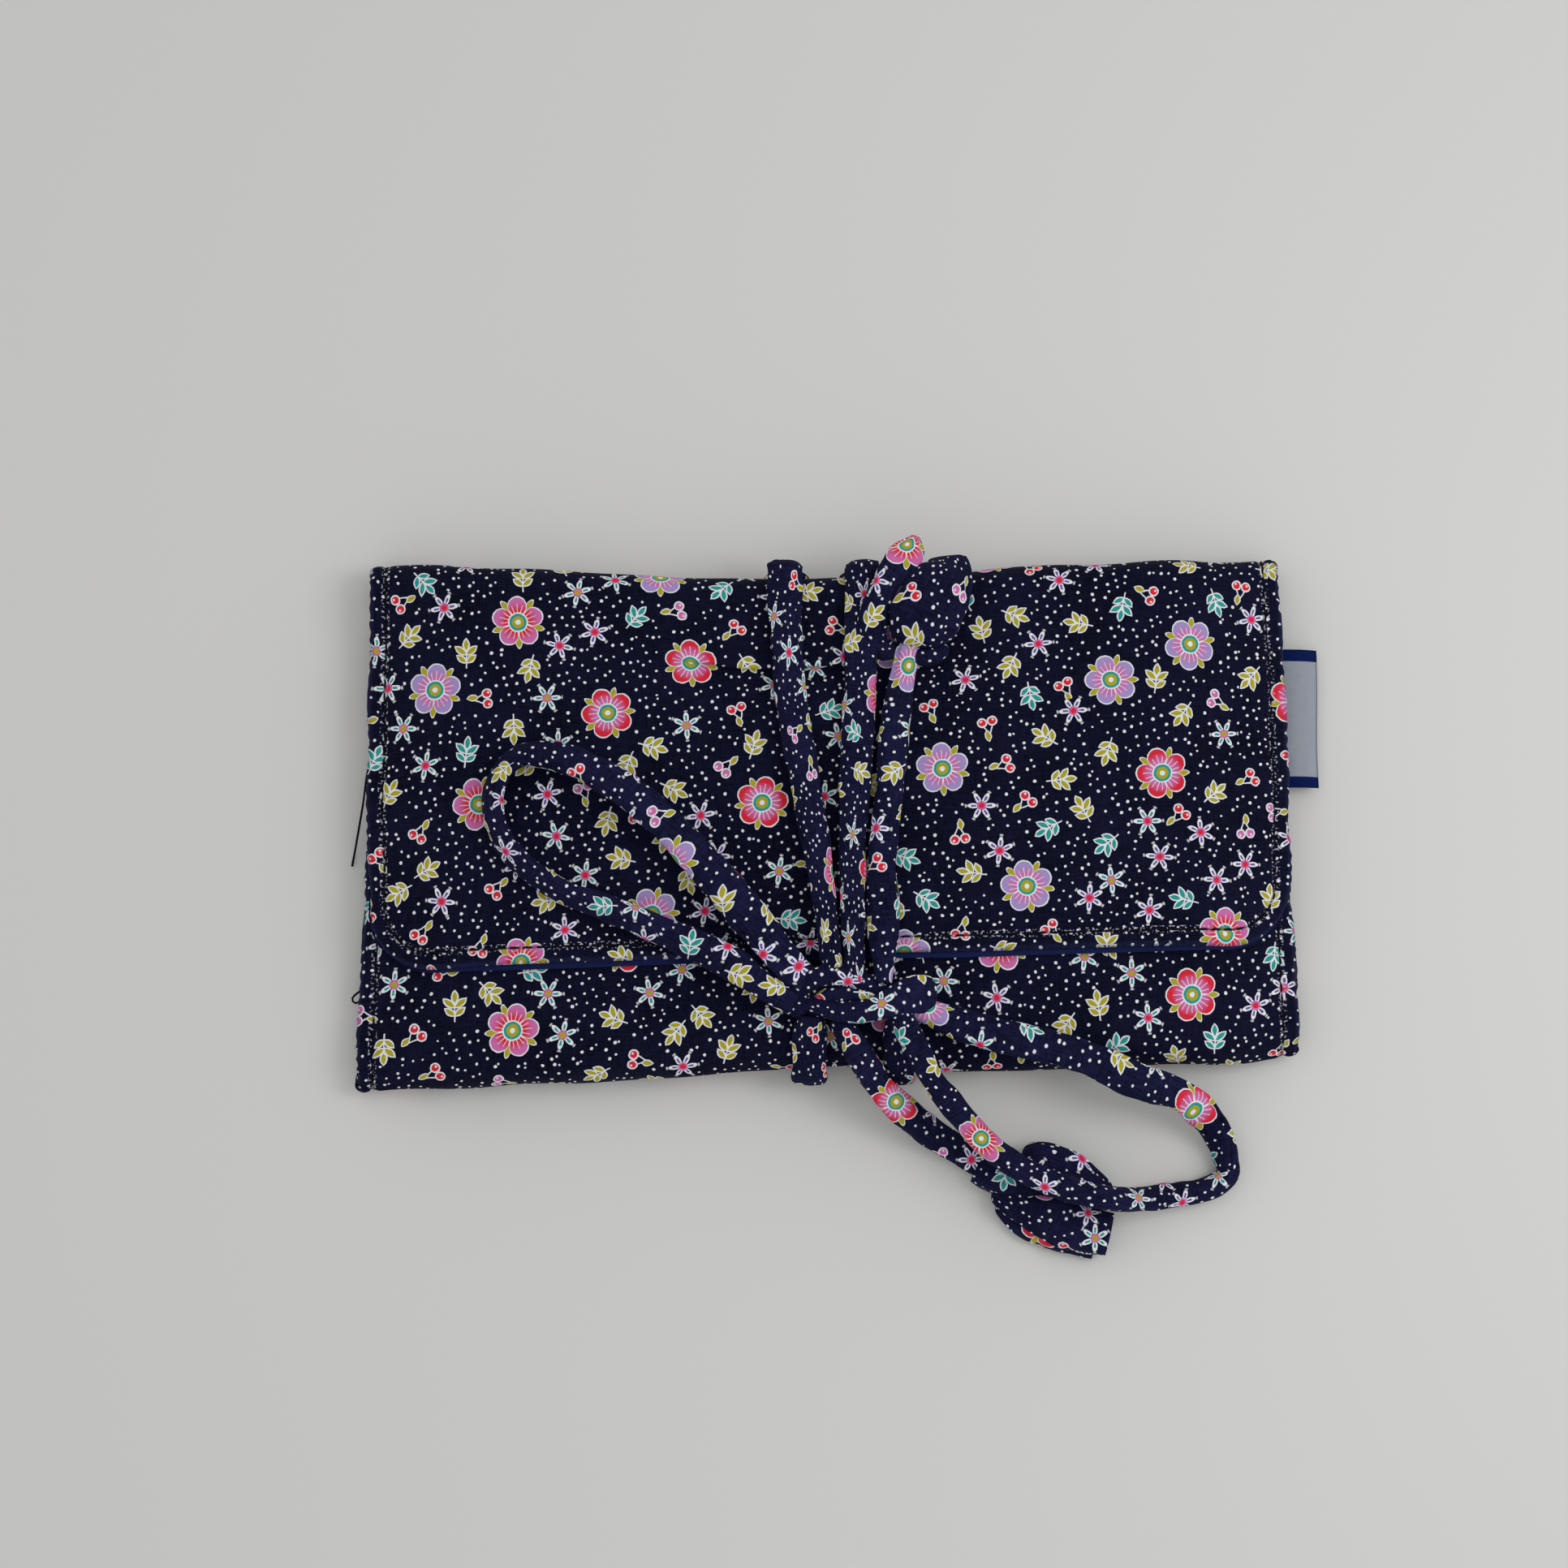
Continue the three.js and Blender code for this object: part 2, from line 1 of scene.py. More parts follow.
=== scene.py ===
# %% [markdown]
# # A jewelry pouch of printed cotton
# The pouch is a padded strip of cotton folded up at the bottom and sewn shut at the sides, with a
# rounded flap over its front. A turned tie goes twice round it and ends in a bow. The solids that
# carry it are loaded first and never move: everything below is cloth laid over them.

# %% Load the solids
import math

import bpy
import numpy as np
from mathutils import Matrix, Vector


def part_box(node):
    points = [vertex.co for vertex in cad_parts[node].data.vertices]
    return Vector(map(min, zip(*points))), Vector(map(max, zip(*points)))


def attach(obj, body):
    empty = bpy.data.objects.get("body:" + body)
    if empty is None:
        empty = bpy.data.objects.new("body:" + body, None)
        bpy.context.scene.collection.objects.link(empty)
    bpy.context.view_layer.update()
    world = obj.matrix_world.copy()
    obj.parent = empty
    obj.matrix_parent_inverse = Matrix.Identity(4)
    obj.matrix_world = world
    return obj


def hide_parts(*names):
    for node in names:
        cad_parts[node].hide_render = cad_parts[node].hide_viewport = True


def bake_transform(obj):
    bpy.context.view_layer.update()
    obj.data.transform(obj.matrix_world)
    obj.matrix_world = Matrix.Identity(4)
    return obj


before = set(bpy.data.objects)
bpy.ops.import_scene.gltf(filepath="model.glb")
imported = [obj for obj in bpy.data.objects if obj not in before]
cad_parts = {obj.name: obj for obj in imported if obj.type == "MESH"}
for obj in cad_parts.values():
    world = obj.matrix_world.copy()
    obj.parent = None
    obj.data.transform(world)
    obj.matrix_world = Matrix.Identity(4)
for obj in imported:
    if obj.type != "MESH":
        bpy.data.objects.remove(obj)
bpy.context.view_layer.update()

# %% [markdown]
# ## Measures
# The pouch is described in millimetres about its own middle, because sewing is. One function turns
# those into the metres of the loaded solids. The overall sizes are read from the solids, so that
# the cloth can't drift away from what it covers.

# %% Sizes in millimetres
MM = 0.001
shell_low, shell_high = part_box("outer_shell")
_, flap_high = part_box("outer_flap")
lining_low, lining_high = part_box("lining_shell")
HALF_WIDTH = (shell_high.x - shell_low.x) / 2 / MM
POUCH_HEIGHT = 110
TOP = POUCH_HEIGHT / 2
BOTTOM = -POUCH_HEIGHT / 2
MIDDLE = np.array([(shell_low.x + shell_high.x) / 2, shell_high.y - TOP * MM, 0])
THICKNESS = flap_high.z / MM
FRONT_TOP = shell_high.z / MM
LINING_CLOTH = 0.5
ROOM_BOTTOM = lining_low.z / MM + LINING_CLOTH
ROOM_TOP = lining_high.z / MM - LINING_CLOTH
FLAP_DROP = 86
FLAP_EDGE = TOP - FLAP_DROP
FLAP_RADIUS = 15
FLAP_LAYERS = 2.6
MOUTH = 47
LAYER_GAP = 0.3


def to_frame(points):
    """Millimetres about the middle of the pouch, as metres of the solids."""
    return np.asarray(points, float) * MM + MIDDLE


print("pouch", 2 * HALF_WIDTH, "by", POUCH_HEIGHT, "by", round(THICKNESS, 1), "mm")

# %% [markdown]
# ## How the soft pouch lies
# A flat, square strip would look like a board. The real one is pinched at the sewn sides and at the
# tie, dips along its top edge and is folded a little askew. Every cloth below goes through this one
# function, so the layers stay on top of each other.

# %% Drape
SIDE_PINCH = 4.6
SIDE_RUN = 24
WAIST_X = 2
WAIST_HALF = 18
WAIST_RUN = 28
WAIST_LIFT = 2.85
WAIST_DIP = 0.6
BOTTOM_SLANT = 4
TOP_DIP = 3.5
TOP_DIP_RUN = 40
TOP_LIFT_LEFT = 0.8
TOP_LIFT_LEFT_RUN = (12, 40)
TOP_LIFT_RIGHT = 2.2
TOP_LIFT_RIGHT_RUN = (16, 40)
TOP_DRAW = 1.4
TOP_DRAW_RUN = 35
HEM_DRAW = 1.1
HEM_DRAW_X = -16
HEM_DRAW_REACH = 26
HEM_SAG = 1.2
HEM_SAG_RUN = (12, 30)
HEM_SAG_END = 86
HEM_RUN = 35
SIDE_START = 70
SIDE_BULGE = 1.3
SIDE_BULGE_RUN = (0, 50)
SIDE_DRAW = 1.2
SIDE_DRAW_RUN = (-35, -15)
RIM_CLOSE = 1.45
RIM_RUN = 7
RIM_END = 4
RIM_FADE = 13


def smoothstep(value, low, high):
    """0 up to low, 1 from high on, and a smooth rise between them."""
    share = np.clip((value - low) / (high - low), 0, 1)
    return share * share * (3 - 2 * share)


def bell(away, reach):
    """1 in the middle, falling off over this reach."""
    return np.exp(-((away / reach) ** 2))


def drape(x, y, height):
    """Where a point of the flat pouch comes to lie, in millimetres."""
    x, y, height = (np.asarray(value, float) for value in (x, y, height))
    waist = 1 - smoothstep(abs(x - WAIST_X), WAIST_HALF, WAIST_HALF + WAIST_RUN)
    side = smoothstep(abs(x), HALF_WIDTH - SIDE_RUN, HALF_WIDTH)
    upper = np.clip((height - ROOM_BOTTOM) / (ROOM_TOP - ROOM_BOTTOM), 0, 1)
    rim = RIM_CLOSE * smoothstep(abs(x), HALF_WIDTH - RIM_RUN, HALF_WIDTH)
    rim *= smoothstep(TOP - abs(y), RIM_END, RIM_END + RIM_FADE)
    rise = (WAIST_LIFT * waist + rim) * (1 - upper)
    rise -= (WAIST_DIP * waist + SIDE_PINCH * side + rim) * upper
    slant = BOTTOM_SLANT * (x / HALF_WIDTH) * (TOP - y) / POUCH_HEIGHT
    dip = TOP_DIP * (1 - (x / HALF_WIDTH) ** 2)
    lift = TOP_LIFT_LEFT * smoothstep(-x, *TOP_LIFT_LEFT_RUN)
    dip -= lift + TOP_LIFT_RIGHT * smoothstep(x, *TOP_LIFT_RIGHT_RUN)
    dip *= smoothstep(y, TOP - TOP_DIP_RUN, TOP)
    hem = HEM_DRAW * bell(x - HEM_DRAW_X, HEM_DRAW_REACH)
    hem -= HEM_SAG * smoothstep(x, *HEM_SAG_RUN) * (1 - smoothstep(x, HEM_SAG_END, HALF_WIDTH))
    hem *= smoothstep(-y, TOP - HEM_RUN, TOP)
    draw = TOP_DRAW * np.maximum(x / HALF_WIDTH, 0) * smoothstep(y, TOP - TOP_DRAW_RUN, TOP)
    draw += SIDE_BULGE * smoothstep(-x, SIDE_START, HALF_WIDTH) * smoothstep(-y, *SIDE_BULGE_RUN)
    draw += SIDE_DRAW * smoothstep(x, SIDE_START, HALF_WIDTH) * smoothstep(y, *SIDE_DRAW_RUN)
    return np.stack(np.broadcast_arrays(x - draw, y + slant - dip + hem, height + rise), axis=-1)


print("the middle of the top edge lies at", drape(0, TOP, THICKNESS).round(1))

# %% [markdown]
# ## Camera, light and table
# The photograph looks almost straight down with a long lens. The light is mostly an even sky,
# which darkens the table all round the pouch, with one lamp to the right that the table fades away
# from. A pale table with no texture keeps the eye on the cloth.

# %% Camera
PHOTO_PIXELS = 1932
FOCAL_PIXELS = 4042.5
SENSOR = 36
ELEVATION = math.radians(81)
DISTANCE = 0.7
AIM = Vector((-0.0131, 0.008, 0.015))


def new_object(name, data):
    """An object of the scene that shows this data."""
    made = bpy.data.objects.new(name, data)
    bpy.context.scene.collection.objects.link(made)
    return made


camera_data = bpy.data.cameras.new("camera")
camera_data.sensor_width = SENSOR
camera_data.lens = SENSOR * FOCAL_PIXELS / PHOTO_PIXELS
camera = new_object("camera", camera_data)
camera.location = AIM + DISTANCE * Vector((0, -math.cos(ELEVATION), math.sin(ELEVATION)))
camera.rotation_euler = (math.pi / 2 - ELEVATION, 0, 0)
bpy.context.scene.camera = camera
bpy.context.scene.view_settings.view_transform = "Standard"
print("lens", round(camera_data.lens, 1), "mm")

# %% [markdown]
# ## Shader maths
# Cloth is easier to describe in formulas than in noodles. This class wraps a socket, so that plain
# Python operators add the Math nodes, and one method adds any other node.

# %% Sockets that can be used in Python maths
CLOTH_UV = "cloth"


class Wire:
    """A socket of a shader tree that takes part in Python expressions."""

    def __init__(self, socket):
        self.socket = socket

    def node(self, kind, settings=None, *values, **named):
        """Adds a node: its settings first, then values or links. Gives its outputs by name."""
        tree = self.socket.id_data
        made = tree.nodes.new("ShaderNode" + kind)
        for name, value in (settings or {}).items():
            setattr(made, name, value)
        sockets = [socket for socket in made.inputs if socket.enabled]
        by_name = {socket.name.replace(" ", "_"): socket for socket in reversed(sockets)}
        for key, value in [*enumerate(values), *named.items()]:
            socket = sockets[key] if isinstance(key, int) else by_name[key]
            if isinstance(value, Wire):
                tree.links.new(value.socket, socket)
            else:
                socket.default_value = value
        return {socket.name: Wire(socket) for socket in made.outputs if socket.enabled}

    def math(self, operation, *values, clamp=False):
        settings = {"operation": operation, "use_clamp": clamp}
        return self.node("Math", settings, *values)["Value"]

    def __add__(self, other):
        return self.math("ADD", self, other)

    def __sub__(self, other):
        return self.math("SUBTRACT", self, other)

    def __rsub__(self, other):
        return self.math("SUBTRACT", other, self)

    def __mul__(self, other):
        return self.math("MULTIPLY", self, other)

    def __truediv__(self, other):
        return self.math("DIVIDE", self, other)

    def __pow__(self, other):
        return self.math("POWER", self, other)

    def __abs__(self):
        return self.math("ABSOLUTE", self)

    def __gt__(self, other):
        return self.math("GREATER_THAN", self, other)

    def __lt__(self, other):
        return self.math("LESS_THAN", self, other)

    __radd__ = __add__
    __rmul__ = __mul__


def ink(code):
    """A colour written as six hex digits, as the linear colour that a shader takes."""
    parts = [int(code[k : k + 2], 16) / 255 for k in (0, 2, 4)]
    return tuple(((p + 0.055) / 1.055) ** 2.4 if p > 0.04 else p / 12.92 for p in parts) + (1,)


def mix(mask, under, over):
    """A colour laid over another where the mask is 1."""
    return mask.node("Mix", {"data_type": "RGBA"}, Factor=mask, A=under, B=over)["Result"]


def vector(operation, *values):
    return values[0].node("VectorMath", {"operation": operation}, *values)["Vector"]


def noise(place, scale, detail):
    return place.node("TexNoise", {}, Vector=place, Scale=scale, Detail=detail)["Fac"]


def bump(height, strength, depth):
    """A normal that the light takes for a relief of this depth in millimetres."""
    return height.node("Bump", {}, Strength=strength, Distance=depth * MM, Height=height)["Normal"]


def cloth_place(surface):
    """The place on the flat cloth, in millimetres."""
    return surface.node("UVMap", {"uv_map": CLOTH_UV})["UV"]


def new_material(name, finish, *inks):
    """A material with one Principled shader, whose values and links its finish gives."""
    material = bpy.data.materials.new(name)
    material.use_nodes = True
    tree = material.node_tree
    tree.nodes.clear()
    surface = Wire(tree.nodes.new("ShaderNodeOutputMaterial").inputs["Surface"])
    shader = surface.node("BsdfPrincipled", {}, **finish(surface, *inks))["BSDF"]
    tree.links.new(shader.socket, surface.socket)
    return material


print("materials use the map", CLOTH_UV)

# %% Table and light
TABLE_SIZE = 4
SKY_STRENGTH = 0.75
LAMP_POWER = 0.95
LAMP_SIZE = 0.3
LAMP_PLACE = (0.4, 0.02, 0.48)


def table_paint(surface):
    spots = surface.node("TexNoise", {}, Scale=9.0, Detail=3.0)["Fac"]
    return {"Base_Color": mix(spots, ink("cdcdcb"), ink("d1d0ce")), "Roughness": 0.7}


half_table = TABLE_SIZE / 2
table_corners = [(x * half_table, y * half_table, 0) for x, y in ((-1, -1), (1, -1), (1, 1), (-1, 1))]
table_mesh = bpy.data.meshes.new("table")
table_mesh.from_pydata(table_corners, [], [(0, 1, 2, 3)])
table_mesh.materials.append(new_material("table paint", table_paint))
new_object("table", table_mesh)

world = bpy.data.worlds.new("studio")
world.use_nodes = True
sky = world.node_tree.nodes["Background"]
sky.inputs["Color"].default_value = (1, 1, 1, 1)
sky.inputs["Strength"].default_value = SKY_STRENGTH
bpy.context.scene.world = world

lamp_data = bpy.data.lights.new("softbox", "AREA")
lamp_data.energy = LAMP_POWER
lamp_data.size = LAMP_SIZE
lamp = new_object("softbox", lamp_data)
lamp.location = LAMP_PLACE
lamp.rotation_euler = (AIM - Vector(LAMP_PLACE)).to_track_quat("-Z", "Y").to_euler()
print("one softbox of", LAMP_POWER, "W and an even sky of", SKY_STRENGTH)

# %% [markdown]
# ## The printed cotton
# The cloth is a plain weave with a small scattered print: five-petal blossoms, stars, leaf sprigs
# and berries, with pin dots between. A picture could hold it, but a formula stays sharp at any
# distance. Each kind of motif sits at the middles of Voronoi cells, and a motif whose middle is too
# near a larger one is left out whole, so that none is cut in two. All of it is measured in
# millimetres on the flat cloth, so the print bends and folds with it.

# %% Places for motifs
SOFT_EDGE = 0.1
KEYLINE = 0.3
NAVY = ink("01020e")
FADED_NAVY = ink("121430")
# The tie's navy is the same cotton painted lighter: a painted highlight, for its rounded top catching more
# light than the flap.
LIT_TIE_NAVY = ink("030418")
FADED_LIT_TIE_NAVY = ink("1c1e42")
WHITE = ink("f2f4f8")
PINK = ink("d573b4")
RED = ink("e02c3c")
OLIVE = ink("b5aa2a")
TEAL = ink("2f9f98")
VIOLET = ink("6d5ba6")
LILAC = ink("ab97cf")
PRINT_TURN = math.radians(27)
SMUDGE = 0.34


def within(distance, edge):
    """1 where the distance is below the edge, with a thin soft step."""
    step = (edge - distance) * (1 / SOFT_EDGE)
    return step.math("ADD", step, 0.5, clamp=True)


def scatter(place, spacing, jitter, shift):
    """The way from the nearest scattered middle, that middle, how far it is and its own chances."""
    moved = vector("MULTIPLY_ADD", place, (1 / spacing, 1 / spacing, 0), (shift, -shift, 0))
    settings = {"voronoi_dimensions": "2D", "feature": "F1"}
    cell = place.node("TexVoronoi", settings, Vector=moved, Scale=1.0, Randomness=jitter)
    local = vector("SCALE", vector("SUBTRACT", moved, cell["Position"]), spacing)
    chances = place.node("SeparateColor", {}, cell["Color"])
    return local, vector("SUBTRACT", place, local), cell["Distance"] * spacing, chances


def turned(local, chance):
    """The way from a middle in x, y and angle, turned by a chance of its own."""
    angle = chance * (2 * math.pi)
    spun = local.node("VectorRotate", {"rotation_type": "Z_AXIS"}, Vector=local, Angle=angle)["Vector"]
    parts = local.node("SeparateXYZ", {}, spun)
    return parts["X"], parts["Y"], parts["Y"].math("ARCTAN2", parts["Y"], parts["X"])


print("the print has its keylines", KEYLINE, "mm wide")

# %% Motifs
BLOSSOM_RADIUS = 6.2
BLOSSOM_SPACING = 33
HEART_RADIUS = 0.3 * BLOSSOM_RADIUS
SMALL_RADIUS = 3.1
SMALL_SPACING = 9.2
DOT_SPACING = 2.2
LEAF_LEAN = math.radians(52)
LEAF_WIDTH = 0.5
LEAF_GAP = 1.7
STEM_WIDTH = 0.14
BERRY_RADIUS = 0.8
SECOND_FROM = 0.25
THIRD_FROM = 0.6


def either(*masks):
    """1 where any of the masks is."""
    whole = masks[0]
    for mask in masks[1:]:
        whole = whole.math("MAXIMUM", whole, mask)
    return whole


def by_chance(chance, first, second, third):
    """One of three colours, by a chance."""
    return mix(chance > THIRD_FROM, mix(chance > SECOND_FROM, first, second), third)


def leaf_half(along, length, width=LEAF_WIDTH):
    """Half the width of a pointed leaf, at a way along it from its middle."""
    return width - (along / length) ** 2 * width


def blossom(under, local, radius, chances):
    """Five veined petals that fade outwards, leaves between them and a ringed heart."""
    _, _, angle = turned(local, chances["Red"])
    petal = abs(angle.math("COSINE", angle * 2.5))
    rim = (petal**0.5) * (0.5 * BLOSSOM_RADIUS) + 0.42 * BLOSSOM_RADIUS
    leaf_edge = abs(angle.math("SINE", angle * 2.5)) ** 6 * (0.6 * BLOSSOM_RADIUS) + 0.36 * BLOSSOM_RADIUS
    warm = by_chance(chances["Green"], RED, PINK, LILAC)
    deep = by_chance(chances["Green"], PINK, RED, PINK)
    outward = radius.math("MULTIPLY_ADD", radius, 0.55, -1.45, clamp=True)
    vein = within(abs(angle.math("SINE", angle * 10)) * radius, 0.9) * within(radius, 0.72 * rim)
    petals = mix(vein * 0.7, mix(outward, deep, warm), WHITE)
    petals = mix(within(radius * petal * 0.4, 0.17), petals, WHITE)
    heart = mix(within(radius, HEART_RADIUS), WHITE, TEAL)
    heart = mix(within(radius, 0.7 * HEART_RADIUS), heart, OLIVE)
    heart = mix(within(radius, 0.3 * HEART_RADIUS), heart, WHITE)
    whole = mix(within(radius, HEART_RADIUS + KEYLINE), petals, heart)
    whole = mix(within(radius, rim - KEYLINE), WHITE, whole)
    leaves = mix(within(radius, leaf_edge - KEYLINE), WHITE, OLIVE)
    return mix(within(radius, rim), mix(within(radius, leaf_edge), under, leaves), whole)


def star(under, radius, angle, chances):
    """Six narrow white petals with a coloured line each, round a small heart."""
    petal = abs(angle.math("COSINE", angle * 3))
    rim = (petal**1.6) * (0.72 * SMALL_RADIUS) + 0.26 * SMALL_RADIUS
    line = within((1 - petal) * radius * 4, 0.5) * within(abs(radius - 0.55 * SMALL_RADIUS), 0.55)
    petals = mix(line, WHITE, mix(chances["Blue"] > 0.5, TEAL, VIOLET))
    tips = within(1 - petal, 0.03) * within(abs(radius - SMALL_RADIUS - 0.25), 0.2)
    heart = mix(within(radius, 0.2 * SMALL_RADIUS), PINK, mix(chances["Blue"] > 0.3, OLIVE, RED))
    whole = mix(within(radius, 0.33 * SMALL_RADIUS), petals, heart)
    return mix(within(radius, rim), mix(tips, under, WHITE), whole)


def sprig(under, x, y, chances):
    """A stem with two pairs of leaves and one at its tip."""
    side = abs(x)
    aside, ahead = math.sin(LEAF_LEAN), math.cos(LEAF_LEAN)
    along = side * aside + y * ahead
    low_along = along + LEAF_GAP * ahead
    leaves = (
        (abs(side * ahead - y * aside), leaf_half(along - 1.5, 1.35)),
        (abs(side * ahead - (y + LEAF_GAP) * aside), leaf_half(low_along - 1.3, 1.15, 0.46)),
        (side, leaf_half(y - 2.2, 1.2)),
    )
    stem = within(side, STEM_WIDTH) * (y < 1.2) * (y > -3)
    lines = either(stem, *(within(across, half + KEYLINE) for across, half in leaves))
    fills = either(*(within(across, half) for across, half in leaves))
    return mix(fills, mix(lines, under, WHITE), mix(chances["Blue"] > 0.3, TEAL, OLIVE))


def berries(under, x, y, chances):
    """Two berries with a glint each, on a forked stem with a leaf."""
    side = abs(x)
    reach = (side - 1.1) ** 2 + (y - 0.9) ** 2
    berry = reach.math("SQRT", reach)
    glint = (side - 1.3) ** 2 + (y - 1.2) ** 2
    fork = within(abs(side * 0.894 - (y + 2) * 0.447), 0.13) * (y < 0.6) * (y > -2)
    leaf = leaf_half(y + 2.2, 1.1)
    across = abs(x - 0.5)
    lines = either(fork, within(berry, BERRY_RADIUS + KEYLINE), within(across, leaf + KEYLINE * 0.8))
    colour = mix(chances["Blue"] > 0.4, PINK, RED)
    filled = mix(within(berry, BERRY_RADIUS), mix(lines, under, WHITE), colour)
    filled = mix(within(across, leaf), filled, OLIVE)
    return mix(within(glint, 0.06), filled, WHITE)


print("blossoms", 2 * BLOSSOM_RADIUS, "mm and small motifs", 2 * SMALL_RADIUS, "mm across")

# %% [markdown]
# ## The weave
# Ink sits on the threads and misses the hollows between them, so the print is broken up by the same
# little bumps that the light catches. Sheen is a fixed number: cotton has little of it.

# %% Cotton and lining
THREAD_PITCH = 0.38
WEAVE_DEPTH = 0.16
INK_MISSED = 0.3
STITCH_INSET = 3.5
SEAM = "seam"
SEAM_REACH = 8
RIM_WEAR_AND_HIGHLIGHT = 1.2
NICK_REACH = 0.85
NICK_INK = ink("b9bccb")
# Paler navy at sewn rims: partly wear, partly a painted highlight where the rolled edge catches light.
WORN_AND_LIT_NAVY = ink("2c3058")
# Painted shade: a dark line in the groove under the stitch thread.
GROOVE_PAINTED_SHADE = ink("020206")
GROOVE_SHADE_REACH = 0.3
MOTIF_ROOM = BLOSSOM_RADIUS + SMALL_RADIUS + 0.3
DOT_ROOM = 0.7
DOT_RADIUS = 0.22
DOT_SPREAD = 0.14
SMALL_REACH = SMALL_RADIUS + 0.6
SPRIGS_FROM = 0.42
BERRIES_FROM = 0.8
STREAKS = ((2.6, 0.3, 1), (0.3, 2.6, 1))
STREAK_SHADE = 1.3
BLOSSOM_LAYER = (BLOSSOM_SPACING, 0.55, 0.37)
SMALL_LAYER = (SMALL_SPACING, 0.45, 5.13)
DOT_LAYER = (DOT_SPACING, 0.7, 9.71)


def weave(place):
    """Bumps of a plain weave, from 0 in the hollows to 1 on the threads."""
    parts = place.node("SeparateXYZ", {}, place)
    waves = [part.math("SINE", part * (2 * math.pi / THREAD_PITCH)) for part in (parts["X"], parts["Y"])]
    return waves[0] * waves[1] * 0.5 + 0.5


def weave_bump(place, bumps):
    """Threads that the light catches, with slubs."""
    return bump(bumps * 0.7 + noise(place, 1.4, 3.0), 0.55, WEAVE_DEPTH)


def threads(place):
    """How light each thread is: short streaks one way and the other, over a slow fade."""
    total = noise(place, 0.06, 3.0) - 0.5
    for stretch in STREAKS:
        total = total + (noise(vector("MULTIPLY", place, stretch), 1.0, 2.0) - 0.5) * STREAK_SHADE
    return total.math("ADD", total, 0.5, clamp=True)


def smudged(place):
    """Places of the print: turned on the cloth, with edges that wander a little as ink does."""
    wander = place.node("TexNoise", {}, Vector=place, Scale=1.1, Detail=2.0)["Color"]
    wander = vector("SUBTRACT", wander, (0.5, 0.5, 0.5))
    moved = vector("MULTIPLY_ADD", wander, (SMUDGE, SMUDGE, 0), place)
    return place.node("VectorRotate", {"rotation_type": "Z_AXIS"}, Vector=moved, Angle=PRINT_TURN)["Vector"]


def sewn_wear_and_shade(place, colour):
    """At a sewn rim: a paler edge, partly wear and partly a painted highlight where the rolled rim catches
    light, a painted shade along the groove under the thread, and nicks where the needle broke the ink.
    """
    near = place.node("Attribute", {"attribute_name": SEAM})["Fac"]
    off_row = abs(near + (STITCH_INSET - SEAM_REACH))
    fibres = noise(place, 1.7, 1.0)
    # The paler rim is partly wear and partly a painted highlight on the rolled edge.
    rim = near.math("ADD", near, RIM_WEAR_AND_HIGHLIGHT - SEAM_REACH, clamp=True)
    colour = mix(rim * fibres * 0.7, colour, WORN_AND_LIT_NAVY)
    colour = mix(within(off_row, NICK_REACH) * (fibres > 0.59) * 0.7, colour, NICK_INK)
    # Painted shade along the groove under the thread.
    return mix(within(off_row, GROOVE_SHADE_REACH) * 0.5, colour, GROOVE_PAINTED_SHADE)


def printed_cotton(surface, navy, faded_navy):
    """The print on a navy ground: dots, then small motifs, then blossoms over them."""
    place = cloth_place(surface)
    inked = smudged(place)
    big, _, big_radius, big_chances = scatter(inked, *BLOSSOM_LAYER)
    small, small_middle, small_radius, small_chances = scatter(inked, *SMALL_LAYER)
    _, dot_middle, dot_radius, dot_chances = scatter(inked, *DOT_LAYER)

    small_shown = scatter(small_middle, *BLOSSOM_LAYER)[2] > MOTIF_ROOM
    _, near_middle, near_small, _ = scatter(dot_middle, *SMALL_LAYER)
    near_big = scatter(dot_middle, *BLOSSOM_LAYER)[2]
    small_there = scatter(near_middle, *BLOSSOM_LAYER)[2] > MOTIF_ROOM
    clear_small = 1 - small_there * (near_small < SMALL_RADIUS + DOT_ROOM)
    dot_shown = clear_small * (near_big > BLOSSOM_RADIUS + DOT_ROOM)

    bumps = weave(place)
    ground = mix(threads(place), navy, faded_navy)
    dot = within(dot_radius, dot_chances["Red"] * DOT_SPREAD + DOT_RADIUS) * dot_shown
    print_on = mix(dot, ground, WHITE)
    x, y, angle = turned(small, small_chances["Red"])
    kind = small_chances["Green"]
    starred = star(ground, small_radius, angle, small_chances)
    chosen = mix(kind > SPRIGS_FROM, starred, sprig(ground, x, y, small_chances))
    chosen = mix(kind > BERRIES_FROM, chosen, berries(ground, x, y, small_chances))
    print_on = mix(within(small_radius, SMALL_REACH) * small_shown, print_on, chosen)
    print_on = blossom(print_on, big, big_radius, big_chances)
    colour = mix((1 - bumps) * INK_MISSED, print_on, ground)
    return {
        "Base_Color": sewn_wear_and_shade(place, colour),
        "Roughness": 0.7,
        "Specular_IOR_Level": 0.05,
        "Sheen_Weight": 0.01,
        "Sheen_Roughness": 0.5,
        "Normal": weave_bump(place, bumps),
    }


def navy_lining(surface):
    place = cloth_place(surface)
    bumps = weave(place)
    cloth = mix(noise(place, 0.08, 4.0), ink("0f1740"), ink("151f4e"))
    return {
        "Base_Color": mix(bumps * 0.5, cloth, ink("1f2a62")),
        "Roughness": 0.8,
        "Specular_IOR_Level": 0.12,
        "Sheen_Weight": 0.03,
        "Normal": weave_bump(place, bumps),
    }


COTTON = new_material("printed cotton", printed_cotton, NAVY, FADED_NAVY)
# The tie's copy of the cotton has its ground painted lighter, as if lit more than the flap.
LIT_TIE_COTTON = new_material("tie cotton", printed_cotton, LIT_TIE_NAVY, FADED_LIT_TIE_NAVY)
LINING = new_material("navy lining", navy_lining)
print("cotton shader nodes:", len(COTTON.node_tree.nodes))

